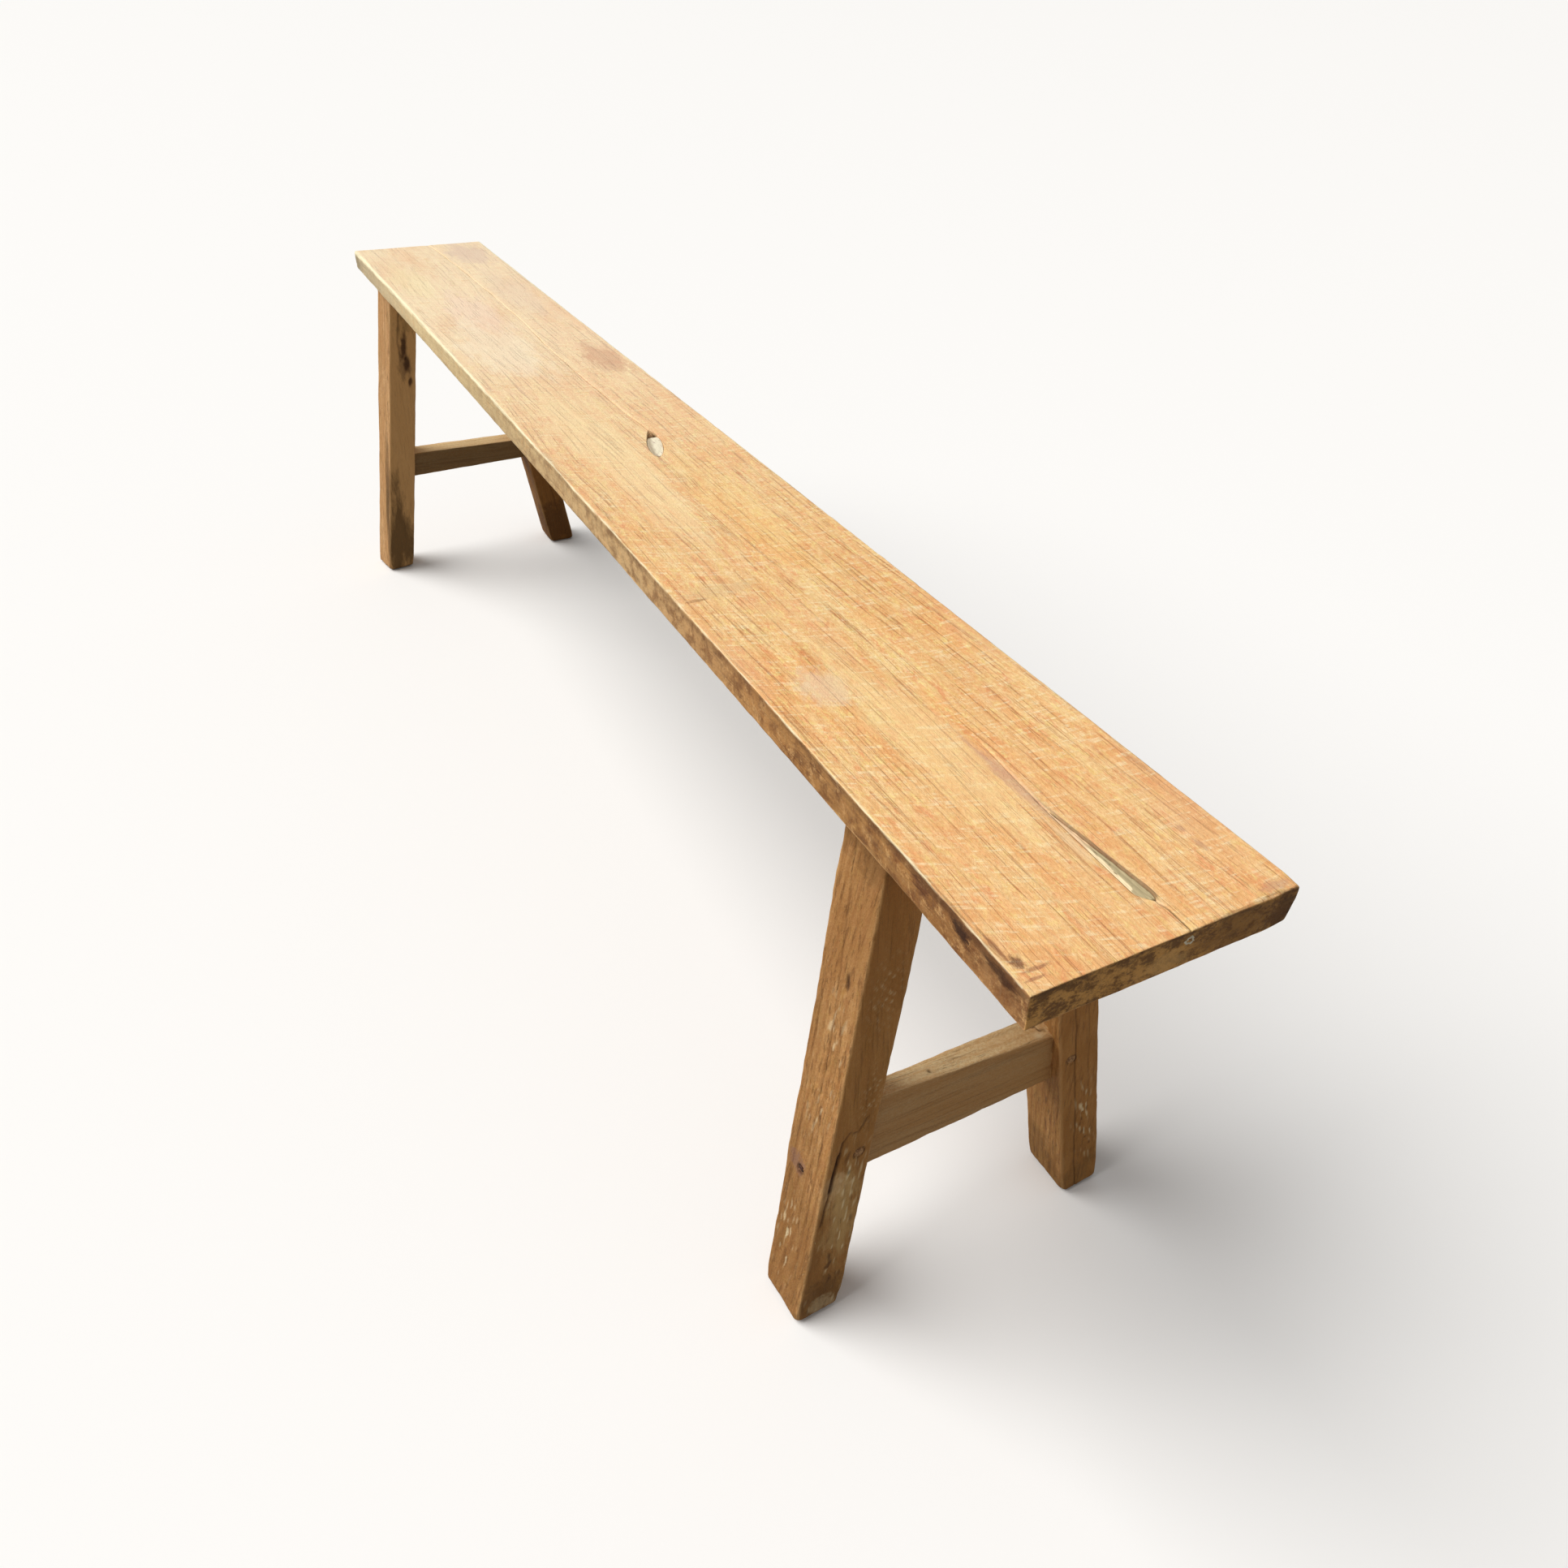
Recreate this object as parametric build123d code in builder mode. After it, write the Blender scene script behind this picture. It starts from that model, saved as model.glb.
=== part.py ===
"""Backless plank bench in reclaimed teak.

One long solid plank is the seat.  A pair of splayed square legs carries each end,
and one stretcher joins each pair.  The legs have blind stub tenons in the
underside of the plank, the stretchers have tenons in the legs, and a round peg
through each leg locks its stretcher tenon.

Frame: millimetres, +Z up, origin on the floor under the middle of the bench.
+X runs along the bench to its right end, -Y is the front, +Y the back.
"""
from build123d import *
import os

# ---------------------------------------------------------------- driving sizes
# seat plank
seat_height = 480.0
seat_length = 1760.0
seat_width = 198.0
seat_thickness = 27.0
front_edge_hollow = 3.0        # how far the front edge bows inwards at mid-length
back_bevel_in = 5.5            # bevel along the back lower edge, measured inwards
back_square_edge = 6.0         # upright part of the back side, above that bevel
seat_arris = 2.0               # rounding of the plank's sharp edges

# legs: horizontal section, place at the underside of the seat, and splay
right_leg_depth = 51.5         # along X
right_leg_width = 41.0         # along Y
left_leg_depth = 53.0
left_leg_width = 42.5
leg_off_centre = 67.0          # from the plank's centre line to a leg's centre line
right_end_overhang = 186.0     # from the plank's right end to the leg centre line
left_end_overhang = 137.0
left_pair_skew = 2.5           # left front leg stands further out, left back further in
splay_endways = 0.06           # outward lean per unit of height, in X
splay_sideways = 0.153         # outward lean per unit of height, in Y
left_back_splay = 0.180        # this hand-set leg leans out more than the others
right_front_turn = 3.5         # degrees that a hand-set leg is turned, seen from above
left_front_turn = 7.5
leg_arris = 3.0
foot_arris = 2.0

# leg tenons in the seat
seat_tenon_depth = 30.0        # along X
seat_tenon_width = 22.0        # along Y
seat_tenon_length = 15.0
tenon_end_gap = 1.0            # glue room past the end of each tenon
tenon_side_gap = 0.1           # clearance round each tenon

# right stretcher: a tall thin rail, twisted and waney at its back end
right_rail_height = 68.0
right_rail_thickness = 21.0
right_rail_level = 177.0       # height of its centre above the floor
right_rail_outset = 4.0        # towards the end of the bench, off the legs' centre line
right_rail_front_rise = 7.0    # outer top arris at the front end, upwards
right_rail_front_drop = 2.0    # outer lower arris at the front end, downwards
right_rail_back_wane = 9.0     # outer top arris at the back end, downwards
right_rail_back_lift = 3.0     # outer lower arris at the back end, upwards

# left stretcher: a squarer rail, less tall at its back end
left_rail_height = 38.0
left_rail_thickness = 34.0
left_rail_level = 177.5
left_rail_back_lift = 6.0      # lower face at the back end, upwards

# stretcher tenons in the legs
right_rail_tenon_height = 42.0
left_rail_tenon_height = 24.0
rail_tenon_thickness = 12.0
rail_tenon_length = 25.0

# pegs and the old nail
peg_diameter = 9.0
peg_setback = 12.0             # from the leg's inner face to the peg's axis
peg_past_tenon = 8.0           # how far the peg runs on past the tenon
peg_gap = 0.05                 # clearance round a peg
peg_recess = 0.6               # peg end below the leg's face
nail_length = 56.0
nail_shank = 3.0
nail_head = 6.5
nail_head_thickness = 1.2
nail_height = 146.0
nail_angle = 8.0               # driven slightly upwards, in degrees
nail_inset = 31.0              # from the leg's outer face along X
nail_gap = 0.05

# shakes and knots in the plank, and what fills them
knot_from_middle = 73.0        # along X, from the middle of the bench
knot_off_centre = 19.0         # along Y, from the plank's centre line
knot_length = 70.0
knot_width = 17.0
knot_depth = 9.0
knot_turn = -15.0              # degrees, seen from above
knot_open_length = 15.0        # the left end of the knot is left unfilled
filler_gap = 0.1               # between a filler and its pocket
filler_below_top = 0.4
split_from_end = 31.0          # right end of the filled split, from the plank's end
split_length = 104.0
split_width = 10.0             # at its widest, close to its right end
split_heel_length = 8.0        # from its widest place to its right end
split_depth = 8.0
split_tip_off_centre = 6.5     # along Y, at the pointed left end
split_heel_off_centre = 9.0    # along Y, at the widest place
hairline_width = 0.8
hairline_depth = 6.0
left_hairline_start = 17.0     # off centre at the plank's left end
left_hairline_middle = 27.0    # off centre a quarter of the way along
putty_diameter = 9.0
putty_depth = 5.0
putty_below_top = 7.5
putty_off_centre = 13.0

# ---------------------------------------------------------------- derived sizes
seat_underside = seat_height - seat_thickness
half_length = seat_length / 2
half_width = seat_width / 2
back_bevel_top = seat_height - back_square_edge

# each leg: end is +1 right or -1 left, side is -1 front or +1 back
LEGS = {
    "right_front": {"end": 1, "side": -1, "turn": right_front_turn, "splay": splay_sideways},
    "right_back": {"end": 1, "side": 1, "turn": 0.0, "splay": splay_sideways},
    "left_front": {"end": -1, "side": -1, "turn": left_front_turn, "splay": splay_sideways},
    "left_back": {"end": -1, "side": 1, "turn": 0.0, "splay": left_back_splay},
}


def leg_section(corner):
    """Depth and width of one leg, along and across the bench before it is turned."""
    if LEGS[corner]["end"] > 0:
        return right_leg_depth, right_leg_width
    return left_leg_depth, left_leg_width


def leg_centre(corner, height):
    """Point of a leg's centre line at a height above the floor."""
    leg_data = LEGS[corner]
    drop = seat_underside - height
    if leg_data["end"] > 0:
        x = half_length - right_end_overhang + splay_endways * drop
    else:
        x = -half_length + left_end_overhang - splay_endways * drop
        x += leg_data["side"] * left_pair_skew
    y = leg_data["side"] * (leg_off_centre + leg_data["splay"] * drop)
    return Vector(x, y, height)


def leg_along(corner):
    """Level direction along a leg's depth: X turned by the leg's turn."""
    return Vector(1, 0, 0).rotate(Axis.Z, LEGS[corner]["turn"])


def leg_across(corner):
    """Level direction along a leg's width: Y turned by the leg's turn."""
    return Vector(0, 1, 0).rotate(Axis.Z, LEGS[corner]["turn"])


def leg_upward(corner):
    """Direction of a leg's centre line, from the floor to the seat."""
    return (leg_centre(corner, seat_underside) - leg_centre(corner, 0)).normalized()


def inner_face_point(corner, height, outset):
    """Point on a leg's inner face, moved from its middle towards the bench's end."""
    leg_data = LEGS[corner]
    half_leg = leg_section(corner)[1] / 2
    inwards = leg_across(corner) * (-leg_data["side"] * half_leg)
    sideways = leg_along(corner) * (leg_data["end"] * outset)
    return leg_centre(corner, height) + inwards + sideways


# each stretcher: the end it belongs to and its own sizes
RAILS = {
    "right": {
        "end": 1,
        "level": right_rail_level,
        "height": right_rail_height,
        "thickness": right_rail_thickness,
        "outset": right_rail_outset,
        "tenon_height": right_rail_tenon_height,
    },
    "left": {
        "end": -1,
        "level": left_rail_level,
        "height": left_rail_height,
        "thickness": left_rail_thickness,
        "outset": 0.0,
        "tenon_height": left_rail_tenon_height,
    },
}


def rail_shoulder(end_name, side_name):
    """Middle of a stretcher's shoulder, on the inner face of its leg."""
    rail = RAILS[end_name]
    return inner_face_point(f"{end_name}_{side_name}", rail["level"], rail["outset"])


def rail_shoulder_plane(end_name, side_name):
    """Plane of a leg's inner face at the stretcher, local x along X, local y upwards."""
    corner = f"{end_name}_{side_name}"
    along = leg_along(corner)
    facing = along.cross(leg_upward(corner))
    return Plane(origin=rail_shoulder(end_name, side_name), x_dir=along, z_dir=facing)


def rail_levels(end_name, side_name):
    """Levels of three arrises of a stretcher at one end: inner foot, outer foot, outer top."""
    half_height = RAILS[end_name]["height"] / 2
    if end_name == "left":
        lift = left_rail_back_lift if side_name == "back" else 0.0
        return lift - half_height, lift - half_height, half_height
    if side_name == "front":
        outer_foot = -half_height - right_rail_front_drop
        return -half_height, outer_foot, half_height + right_rail_front_rise
    outer_foot = -half_height + right_rail_back_lift
    return -half_height, outer_foot, half_height - right_rail_back_wane


def rail_tenon_box(end_name, side_name, length, gap):
    """Centre and size of a stretcher's tenon, or of its mortise with a gap round it."""
    rail = RAILS[end_name]
    leg_data = LEGS[f"{end_name}_{side_name}"]
    shoulder = rail_shoulder(end_name, side_name)
    # starts inside the rail, past the lean of the shoulder over the rail's height
    start = shoulder.Y - leg_data["side"] * leg_data["splay"] * rail["height"]
    finish = shoulder.Y + leg_data["side"] * length
    centre = (shoulder.X, (start + finish) / 2, rail["level"])
    size = (
        rail_tenon_thickness + 2 * gap,
        abs(finish - start),
        rail["tenon_height"] + 2 * gap,
    )
    return centre, size


def peg_plane(corner):
    """Plane at the inner end of a peg, looking along the peg to the end of the bench."""
    leg_data = LEGS[corner]
    outwards = leg_along(corner) * leg_data["end"]
    past = rail_tenon_thickness / 2 + peg_past_tenon
    setback = leg_across(corner) * (leg_data["side"] * peg_setback)
    origin = rail_shoulder(*corner.split("_")) + setback - outwards * past
    return Plane(origin=origin, x_dir=leg_across(corner), z_dir=outwards)


def leg_end_plane(corner, recess):
    """Plane of a leg's end face, moved into the leg by the recess, facing outwards."""
    outwards = leg_along(corner) * LEGS[corner]["end"]
    level = RAILS[corner.split("_")[0]]["level"]
    origin = leg_centre(corner, level) + outwards * (leg_section(corner)[0] / 2 - recess)
    across = leg_across(corner)
    facing = across.cross(leg_upward(corner)) * LEGS[corner]["end"]
    return Plane(origin=origin, x_dir=across, z_dir=facing)


def nail_plane():
    """Plane on the right front leg's outer face, looking along the nail into the leg."""
    corner = "right_front"
    depth, width = leg_section(corner)
    to_face = leg_across(corner) * (width / 2)
    to_nail = leg_along(corner) * (depth / 2 - nail_inset)
    origin = leg_centre(corner, nail_height) - to_face + to_nail
    nail_axis = Axis(origin=origin, direction=leg_along(corner))
    inwards = leg_across(corner).rotate(nail_axis, nail_angle)
    return Plane(origin=origin, x_dir=leg_along(corner), z_dir=inwards)


# a blank this long runs from a peg's inner end out past the leg's end face
peg_reach = max(right_leg_depth, left_leg_depth)
# ends of the filled split, along X
split_right = half_length - split_from_end
split_left = split_right - split_length


def leg_sections(corner, size_x, size_y, low, high):
    """Two rectangles on a leg's centre line, at a low and a high level, to loft between."""
    sections = []
    for height in (low, high):
        with BuildSketch(Plane.XY.offset(height)) as section:
            centre = leg_centre(corner, height)
            with Locations((centre.X, centre.Y)):
                Rectangle(size_x, size_y, rotation=LEGS[corner]["turn"])
        sections.append(section.sketch)
    return sections


def seat_tenon_sections(corner, length, gap):
    """Sections of a leg's seat tenon, or of its mortise with a gap round it."""
    size_x = seat_tenon_depth + 2 * gap
    size_y = seat_tenon_width + 2 * gap
    return leg_sections(corner, size_x, size_y, seat_underside, seat_underside + length)


def knot_outline(height, gap):
    """Outline of the knot pocket, or of its filler when the gap is taken off."""
    with BuildSketch(Plane.XY.offset(height)) as outline:
        with Locations((knot_from_middle, knot_off_centre)):
            Ellipse(knot_length / 2 - gap, knot_width / 2 - gap, rotation=knot_turn)
    return outline.sketch


def split_outline(height, gap):
    """Outline of the filled split: a long sliver that widens towards the right end."""
    widest = split_right - split_heel_length
    half = split_width / 2
    with BuildSketch(Plane.XY.offset(height)) as outline:
        with BuildLine():
            Polyline(
                (split_left, split_tip_off_centre),
                (widest, split_heel_off_centre - half),
                (split_right, split_heel_off_centre + half / 2),
                (widest, split_heel_off_centre + half),
                close=True,
            )
        make_face()
        if gap > 0:
            offset(amount=-gap, kind=Kind.INTERSECTION, mode=Mode.REPLACE)
    return outline.sketch


def putty_outline(from_end, gap):
    """Outline of the putty's pocket in the right end grain, or of the putty itself."""
    with BuildSketch(Plane.YZ.offset(half_length - from_end)) as outline:
        with Locations((putty_off_centre, seat_height - putty_below_top)):
            Circle(putty_diameter / 2 - gap)
    return outline.sketch


def disc(plane, diameter):
    """A round section on a plane, for a peg, a nail or their holes."""
    with BuildSketch(plane) as section:
        Circle(diameter / 2)
    return section.sketch


# ---------------------------------------------------------------- seat plank
with BuildPart() as seat_plank:
    with BuildSketch(Plane.XY.offset(seat_underside)) as seat_outline:
        with BuildLine():
            front_left = (-half_length, -half_width)
            front_right = (half_length, -half_width)
            back_right = (half_length, half_width)
            back_left = (-half_length, half_width)
            # a smooth bow, half as deep as its control point
            Bezier(front_left, (0, -half_width + 2 * front_edge_hollow), front_right)
            Polyline(front_right, back_right, back_left, front_left)
        make_face()
    extrude(amount=seat_thickness)
    # the back lower edge is bevelled off as the tree left it
    with BuildSketch(Plane.YZ.offset(-half_length)):
        with BuildLine():
            Polyline(
                (half_width, seat_underside),
                (half_width, back_bevel_top),
                (half_width - back_bevel_in, seat_underside),
                close=True,
            )
        make_face()
    extrude(amount=seat_length, mode=Mode.SUBTRACT)
    top_edges = seat_plank.faces().sort_by(Axis.Z)[-1].edges()
    fillet(top_edges, radius=seat_arris)
    # blind mortises for the legs' stub tenons
    for corner in LEGS:
        mortise = seat_tenon_sections(corner, seat_tenon_length + tenon_end_gap, tenon_side_gap)
        loft(mortise, mode=Mode.SUBTRACT)
    # pockets of the knot, of the split and of the putty in the right end grain
    extrude(knot_outline(seat_height, 0.0), amount=-knot_depth, mode=Mode.SUBTRACT)
    extrude(split_outline(seat_height, 0.0), amount=-split_depth, mode=Mode.SUBTRACT)
    extrude(putty_outline(0.0, 0.0), amount=-putty_depth, mode=Mode.SUBTRACT)
    # open hairline shake from the left end to the knot
    with BuildSketch(Plane.XY.offset(seat_height)):
        with BuildLine() as left_hairline:
            Polyline(
                (-half_length - hairline_width, left_hairline_start),
                (-half_length / 2, left_hairline_middle),
                (knot_from_middle - knot_length / 3, left_hairline_middle),
            )
        trace(line_width=hairline_width)
    extrude(amount=-hairline_depth, mode=Mode.SUBTRACT)
    # open hairline shake from the split to the right end
    with BuildSketch(Plane.XY.offset(seat_height)):
        with BuildLine() as right_hairline:
            Polyline(
                (split_right - split_heel_length / 2, split_heel_off_centre + split_width / 4),
                (half_length + hairline_width, putty_off_centre),
            )
        trace(line_width=hairline_width)
    extrude(amount=-hairline_depth, mode=Mode.SUBTRACT)
seat_plank.part.label = "seat_plank"

# ---------------------------------------------------------------- fillers in the plank
with BuildPart() as knot_filler:
    bottom = knot_outline(seat_height - knot_depth, filler_gap)
    extrude(bottom, amount=knot_depth - filler_below_top)
    knot_left = knot_filler.part.bounding_box().min.X
    open_end = Plane.YZ.offset(knot_left + knot_open_length)
    split(bisect_by=open_end, keep=Keep.TOP)
knot_filler.part.label = "knot_filler"

with BuildPart() as split_filler:
    bottom = split_outline(seat_height - split_depth, filler_gap)
    extrude(bottom, amount=split_depth - filler_below_top)
split_filler.part.label = "split_filler"

with BuildPart() as end_grain_putty:
    bottom = putty_outline(putty_depth, filler_gap)
    extrude(bottom, amount=putty_depth - filler_below_top)
end_grain_putty.part.label = "end_grain_putty"

# ---------------------------------------------------------------- legs
legs = {}
for corner in LEGS:
    end_name, side_name = corner.split("_")
    depth, width = leg_section(corner)
    with BuildPart() as leg:
        loft(leg_sections(corner, depth, width, 0.0, seat_underside))
        long_edges = leg.edges().sort_by(SortBy.LENGTH)[-4:]
        fillet(long_edges, radius=leg_arris)
        foot_edges = leg.faces().sort_by(Axis.Z)[0].edges()
        chamfer(foot_edges, length=foot_arris)
        loft(seat_tenon_sections(corner, seat_tenon_length, 0.0))
        # blind mortise for the stretcher
        mortise_length = rail_tenon_length + tenon_end_gap
        centre, size = rail_tenon_box(end_name, side_name, mortise_length, tenon_side_gap)
        with Locations(centre):
            Box(*size, mode=Mode.SUBTRACT)
        # peg hole from the end face through both cheeks of the mortise
        peg_hole = disc(peg_plane(corner), peg_diameter + 2 * peg_gap)
        extrude(peg_hole, amount=peg_reach, mode=Mode.SUBTRACT)
        if corner == "right_front":
            nail_hole = disc(nail_plane(), nail_shank + 2 * nail_gap)
            extrude(nail_hole, amount=nail_length + nail_gap, mode=Mode.SUBTRACT)
            head_hole = disc(nail_plane(), nail_head + 2 * nail_gap)
            head_room = nail_head_thickness + nail_gap
            extrude(head_hole, amount=head_room, both=True, mode=Mode.SUBTRACT)
    leg.part.label = f"leg_{corner}"
    legs[corner] = leg.part

# ---------------------------------------------------------------- stretchers
stretchers = {}
for end_name, rail in RAILS.items():
    outer = rail["end"] * rail["thickness"] / 2
    with BuildPart() as stretcher:
        for side_name in ("front", "back"):
            inner_foot, outer_foot, outer_top = rail_levels(end_name, side_name)
            with BuildSketch(rail_shoulder_plane(end_name, side_name)):
                with BuildLine():
                    Polyline(
                        (-outer, inner_foot),
                        (outer, outer_foot),
                        (outer, outer_top),
                        (-outer, rail["height"] / 2),
                        close=True,
                    )
                make_face()
        loft(ruled=True)
        for side_name in ("front", "back"):
            centre, size = rail_tenon_box(end_name, side_name, rail_tenon_length, 0.0)
            with Locations(centre):
                Box(*size)
            peg_hole = disc(peg_plane(f"{end_name}_{side_name}"), peg_diameter + 2 * peg_gap)
            extrude(peg_hole, amount=peg_reach, mode=Mode.SUBTRACT)
        if end_name == "right":
            nail_hole = disc(nail_plane(), nail_shank + 2 * nail_gap)
            extrude(nail_hole, amount=nail_length + nail_gap, mode=Mode.SUBTRACT)
    stretcher.part.label = f"stretcher_{end_name}"
    stretchers[end_name] = stretcher.part

# ---------------------------------------------------------------- pegs
pegs = {}
for corner in LEGS:
    with BuildPart() as peg:
        extrude(disc(peg_plane(corner), peg_diameter), amount=peg_reach)
        split(bisect_by=leg_end_plane(corner, peg_recess), keep=Keep.BOTTOM)
    peg.part.label = f"peg_{corner}"
    pegs[corner] = peg.part

# ---------------------------------------------------------------- nail
with BuildPart() as stretcher_nail:
    extrude(disc(nail_plane(), nail_shank), amount=nail_length)
    extrude(disc(nail_plane(), nail_head), amount=nail_head_thickness)
stretcher_nail.part.label = "stretcher_nail"

# ---------------------------------------------------------------- write the pieces
os.makedirs("parts", exist_ok=True)
export_step(seat_plank.part, "parts/seat_plank.step")
export_step(knot_filler.part, "parts/knot_filler.step")
export_step(split_filler.part, "parts/split_filler.step")
export_step(end_grain_putty.part, "parts/end_grain_putty.step")
export_step(stretcher_nail.part, "parts/stretcher_nail.step")
for piece in (*legs.values(), *stretchers.values(), *pegs.values()):
    export_step(piece, f"parts/{piece.label}.step")
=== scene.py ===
"""Looks of a backless bench in reclaimed teak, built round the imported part.

Everything is in metres in the part's own frame: +Z up, +X along the bench to its
right end, -Y to the front.  Every wooden piece is one closed surface over a box
lattice, shaped with whole numpy arrays, and its finish is made of shared shader groups.
"""

import math
from types import SimpleNamespace

import bpy
import numpy as np
from mathutils import Matrix, Vector


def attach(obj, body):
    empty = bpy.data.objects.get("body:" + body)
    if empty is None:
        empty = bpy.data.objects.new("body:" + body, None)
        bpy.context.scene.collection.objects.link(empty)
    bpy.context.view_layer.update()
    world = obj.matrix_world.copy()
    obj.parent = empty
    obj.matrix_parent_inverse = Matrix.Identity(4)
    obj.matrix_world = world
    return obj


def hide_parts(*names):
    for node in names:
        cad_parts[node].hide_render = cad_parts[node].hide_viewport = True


MM = 0.001

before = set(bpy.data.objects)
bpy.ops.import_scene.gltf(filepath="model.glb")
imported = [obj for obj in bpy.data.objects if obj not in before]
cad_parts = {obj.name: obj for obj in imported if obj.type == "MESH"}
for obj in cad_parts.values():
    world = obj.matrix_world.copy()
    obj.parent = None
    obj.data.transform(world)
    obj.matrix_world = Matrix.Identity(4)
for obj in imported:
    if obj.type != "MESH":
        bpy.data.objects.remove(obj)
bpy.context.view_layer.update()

# ---------------------------------------------------------------- sizes, in millimetres
SEAT_TOP = 480.0
SEAT_UNDERSIDE = 453.0
SEAT_HALF_LENGTH = 880.0
SEAT_HALF_WIDTH = 99.0
FRONT_BOW = 3.0
BACK_BEVEL_IN = 5.5
BACK_BEVEL_TOP = 474.0

LEG_OFF_CENTRE = 67.0
SPLAY_ENDWAYS = 0.06
# end and side of the bench, centre line at the underside of the seat, section, splay
# across the bench for each millimetre down, and turn in degrees
LEGS = {
    "right_front": {"end": 1, "side": -1, "x": 694.0, "size": (51.5, 41.0), "splay": 0.153, "turn": 3.5},
    "right_back": {"end": 1, "side": 1, "x": 694.0, "size": (51.5, 41.0), "splay": 0.153, "turn": 0.0},
    "left_front": {"end": -1, "side": -1, "x": -745.5, "size": (53.0, 42.5), "splay": 0.153, "turn": 7.5},
    "left_back": {"end": -1, "side": 1, "x": -740.5, "size": (53.0, 42.5), "splay": 0.180, "turn": 0.0},
}
# level, thickness, place along the bench; then inner foot, outer foot, inner top and
# outer top from that level, at the front end and at the back end
STRETCHERS = {
    "right": {"level": 177.0, "thickness": 21.0, "outset": 4.0,
              "front": (-34.0, -36.0, 34.0, 41.0), "back": (-34.0, -31.0, 34.0, 25.0)},
    "left": {"level": 177.5, "thickness": 34.0, "outset": 0.0,
             "front": (-19.0, -19.0, 19.0, 19.0), "back": (-13.0, -13.0, 19.0, 19.0)},
}
LEG_STATIONS = 214
SHOULDER_BITE = 0.6
PEG_SETBACK = 12.0
PEG_RADIUS = 4.5
PEG_SINK = 0.5
# the nail's head: its level and its place along the leg's face; and the nail's rise
NAIL_HEIGHT = 146.0
NAIL_ALONG = -5.2
NAIL_RISE = math.radians(8)

# the shake that runs along the plank: places along the bench, and off its centre line
SEAM_X = [-881, -871, -744, -576, -425, -272, -127, -52, 39, 107, 300, 664, 717, 748, 841, 850, 860, 881]
SEAM_Y = [15, 17, 23, 26, 27, 21.5, 22.5, 24.5, 28, 10, 12, 13, 9.2, 6.5, 9.0, 11.5, 13, 12.4]
SEAT_STATIONS = 590
KNOT = {"middle": 70.0, "half": 36.0, "half_width": 8.4, "depth": 8.0}
SPLIT = {"tip": 747.0, "widest": 841.0, "heel": 850.0, "half_width": 5.1, "depth": 7.0}
FILLER_SINK = 0.5
FILLER_CLEARANCE = 0.12
PUTTY = {"off_centre": 13.0, "level": 472.5, "radius": 4.4, "depth": 4.4, "sink": 0.12}


# ---------------------------------------------------------------- arrays and meshes
def smooth(low, high, value):
    """0 below low, 1 above high, and the cubic ease between them."""
    t = np.clip((value - low) / (high - low), 0, 1)
    return t * t * (3 - 2 * t)


def ripple(points, wavelength, seed, waves=14):
    """Seeded unevenness from -1 to 1: a sum of sine waves in random directions, with
    wavelengths from 0.6 to 1.7 times the given one along each axis."""
    random = np.random.default_rng(seed)
    total = np.zeros(len(points))
    for _ in range(waves):
        direction = random.normal(size=3)
        direction /= np.linalg.norm(direction)
        length = np.array(wavelength) * random.uniform(0.6, 1.7)
        total += np.sin(points @ (2 * np.pi * direction / length) + random.uniform(0, 2 * np.pi))
    return total / math.sqrt(2 * waves)


def levels(half, count, edge):
    """Levels from -half to half: an even run with closer rows within edge of both ends."""
    rows = edge * np.array([0.0, 0.14, 0.34, 0.62])
    inner = np.linspace(-half + edge, half - edge, count)
    return np.concatenate([-half + rows, inner, half - rows[::-1]])


def lattice_shell(shape):
    """Skin of a box lattice: the row, column and station of each point, and the quads
    of its six sides, each turned so that it faces outwards."""
    skin = np.ones(shape, bool)
    skin[1:-1, 1:-1, 1:-1] = False
    number = np.full(shape, -1)
    number[skin] = np.arange(skin.sum())
    sides = [
        (number[0], True), (number[-1], False),
        (number[:, 0], False), (number[:, -1], True),
        (number[:, :, 0], True), (number[:, :, -1], False),
    ]
    quads = []
    for sheet, flipped in sides:
        quad = np.stack([sheet[:-1, :-1], sheet[1:, :-1], sheet[1:, 1:], sheet[:-1, 1:]], -1)
        quads.append(quad.reshape(-1, 4)[:, ::-1] if flipped else quad.reshape(-1, 4))
    return np.argwhere(skin), np.concatenate(quads)


def rounded(points, half, radius):
    """Rounds a box's arrises: each point goes to the nearest place of the box shrunk by
    the radius, plus one radius outwards.  Gives the points and their outward directions."""
    radius = np.broadcast_to(radius, (len(points),))[:, None]
    core = np.clip(points, -(half - radius), half - radius)
    out = points - core
    out /= np.linalg.norm(out, axis=1)[:, None] + 1e-9
    return core + out * radius, out


def arris_share(points, half, width):
    """1 on a box's arris, falling to 0 over the width: from the second smallest of the
    three distances to the box's sides."""
    distance = np.sort(half - np.abs(points), axis=1)[:, 1]
    return np.exp(-((distance / width) ** 2))


def facing(component, low=0.5, high=0.9):
    """1 where an outward direction's component points the way asked for, 0 across it."""
    return smooth(low, high, component)


def line_share(u, v, line, width):
    """1 on a broken line, falling to 0 over the width: from the least distance of (u, v)
    to its runs."""
    here = np.stack([u, v], 1)
    nearest = np.full(len(u), 1e9)
    for start, end in zip(line[:-1], line[1:]):
        start, run = np.array(start, float), np.subtract(end, start).astype(float)
        t = np.clip((here - start) @ run / (run @ run), 0, 1)
        nearest = np.minimum(nearest, np.linalg.norm(here - start - t[:, None] * run, axis=1))
    return np.exp(-((nearest / width) ** 2))


def spot_share(u, v, centre, size):
    """1 at a spot's centre, falling to 0 past its two half sizes."""
    return np.exp(-(((u - centre[0]) / size[0]) ** 2) - ((v - centre[1]) / size[1]) ** 2)


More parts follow.
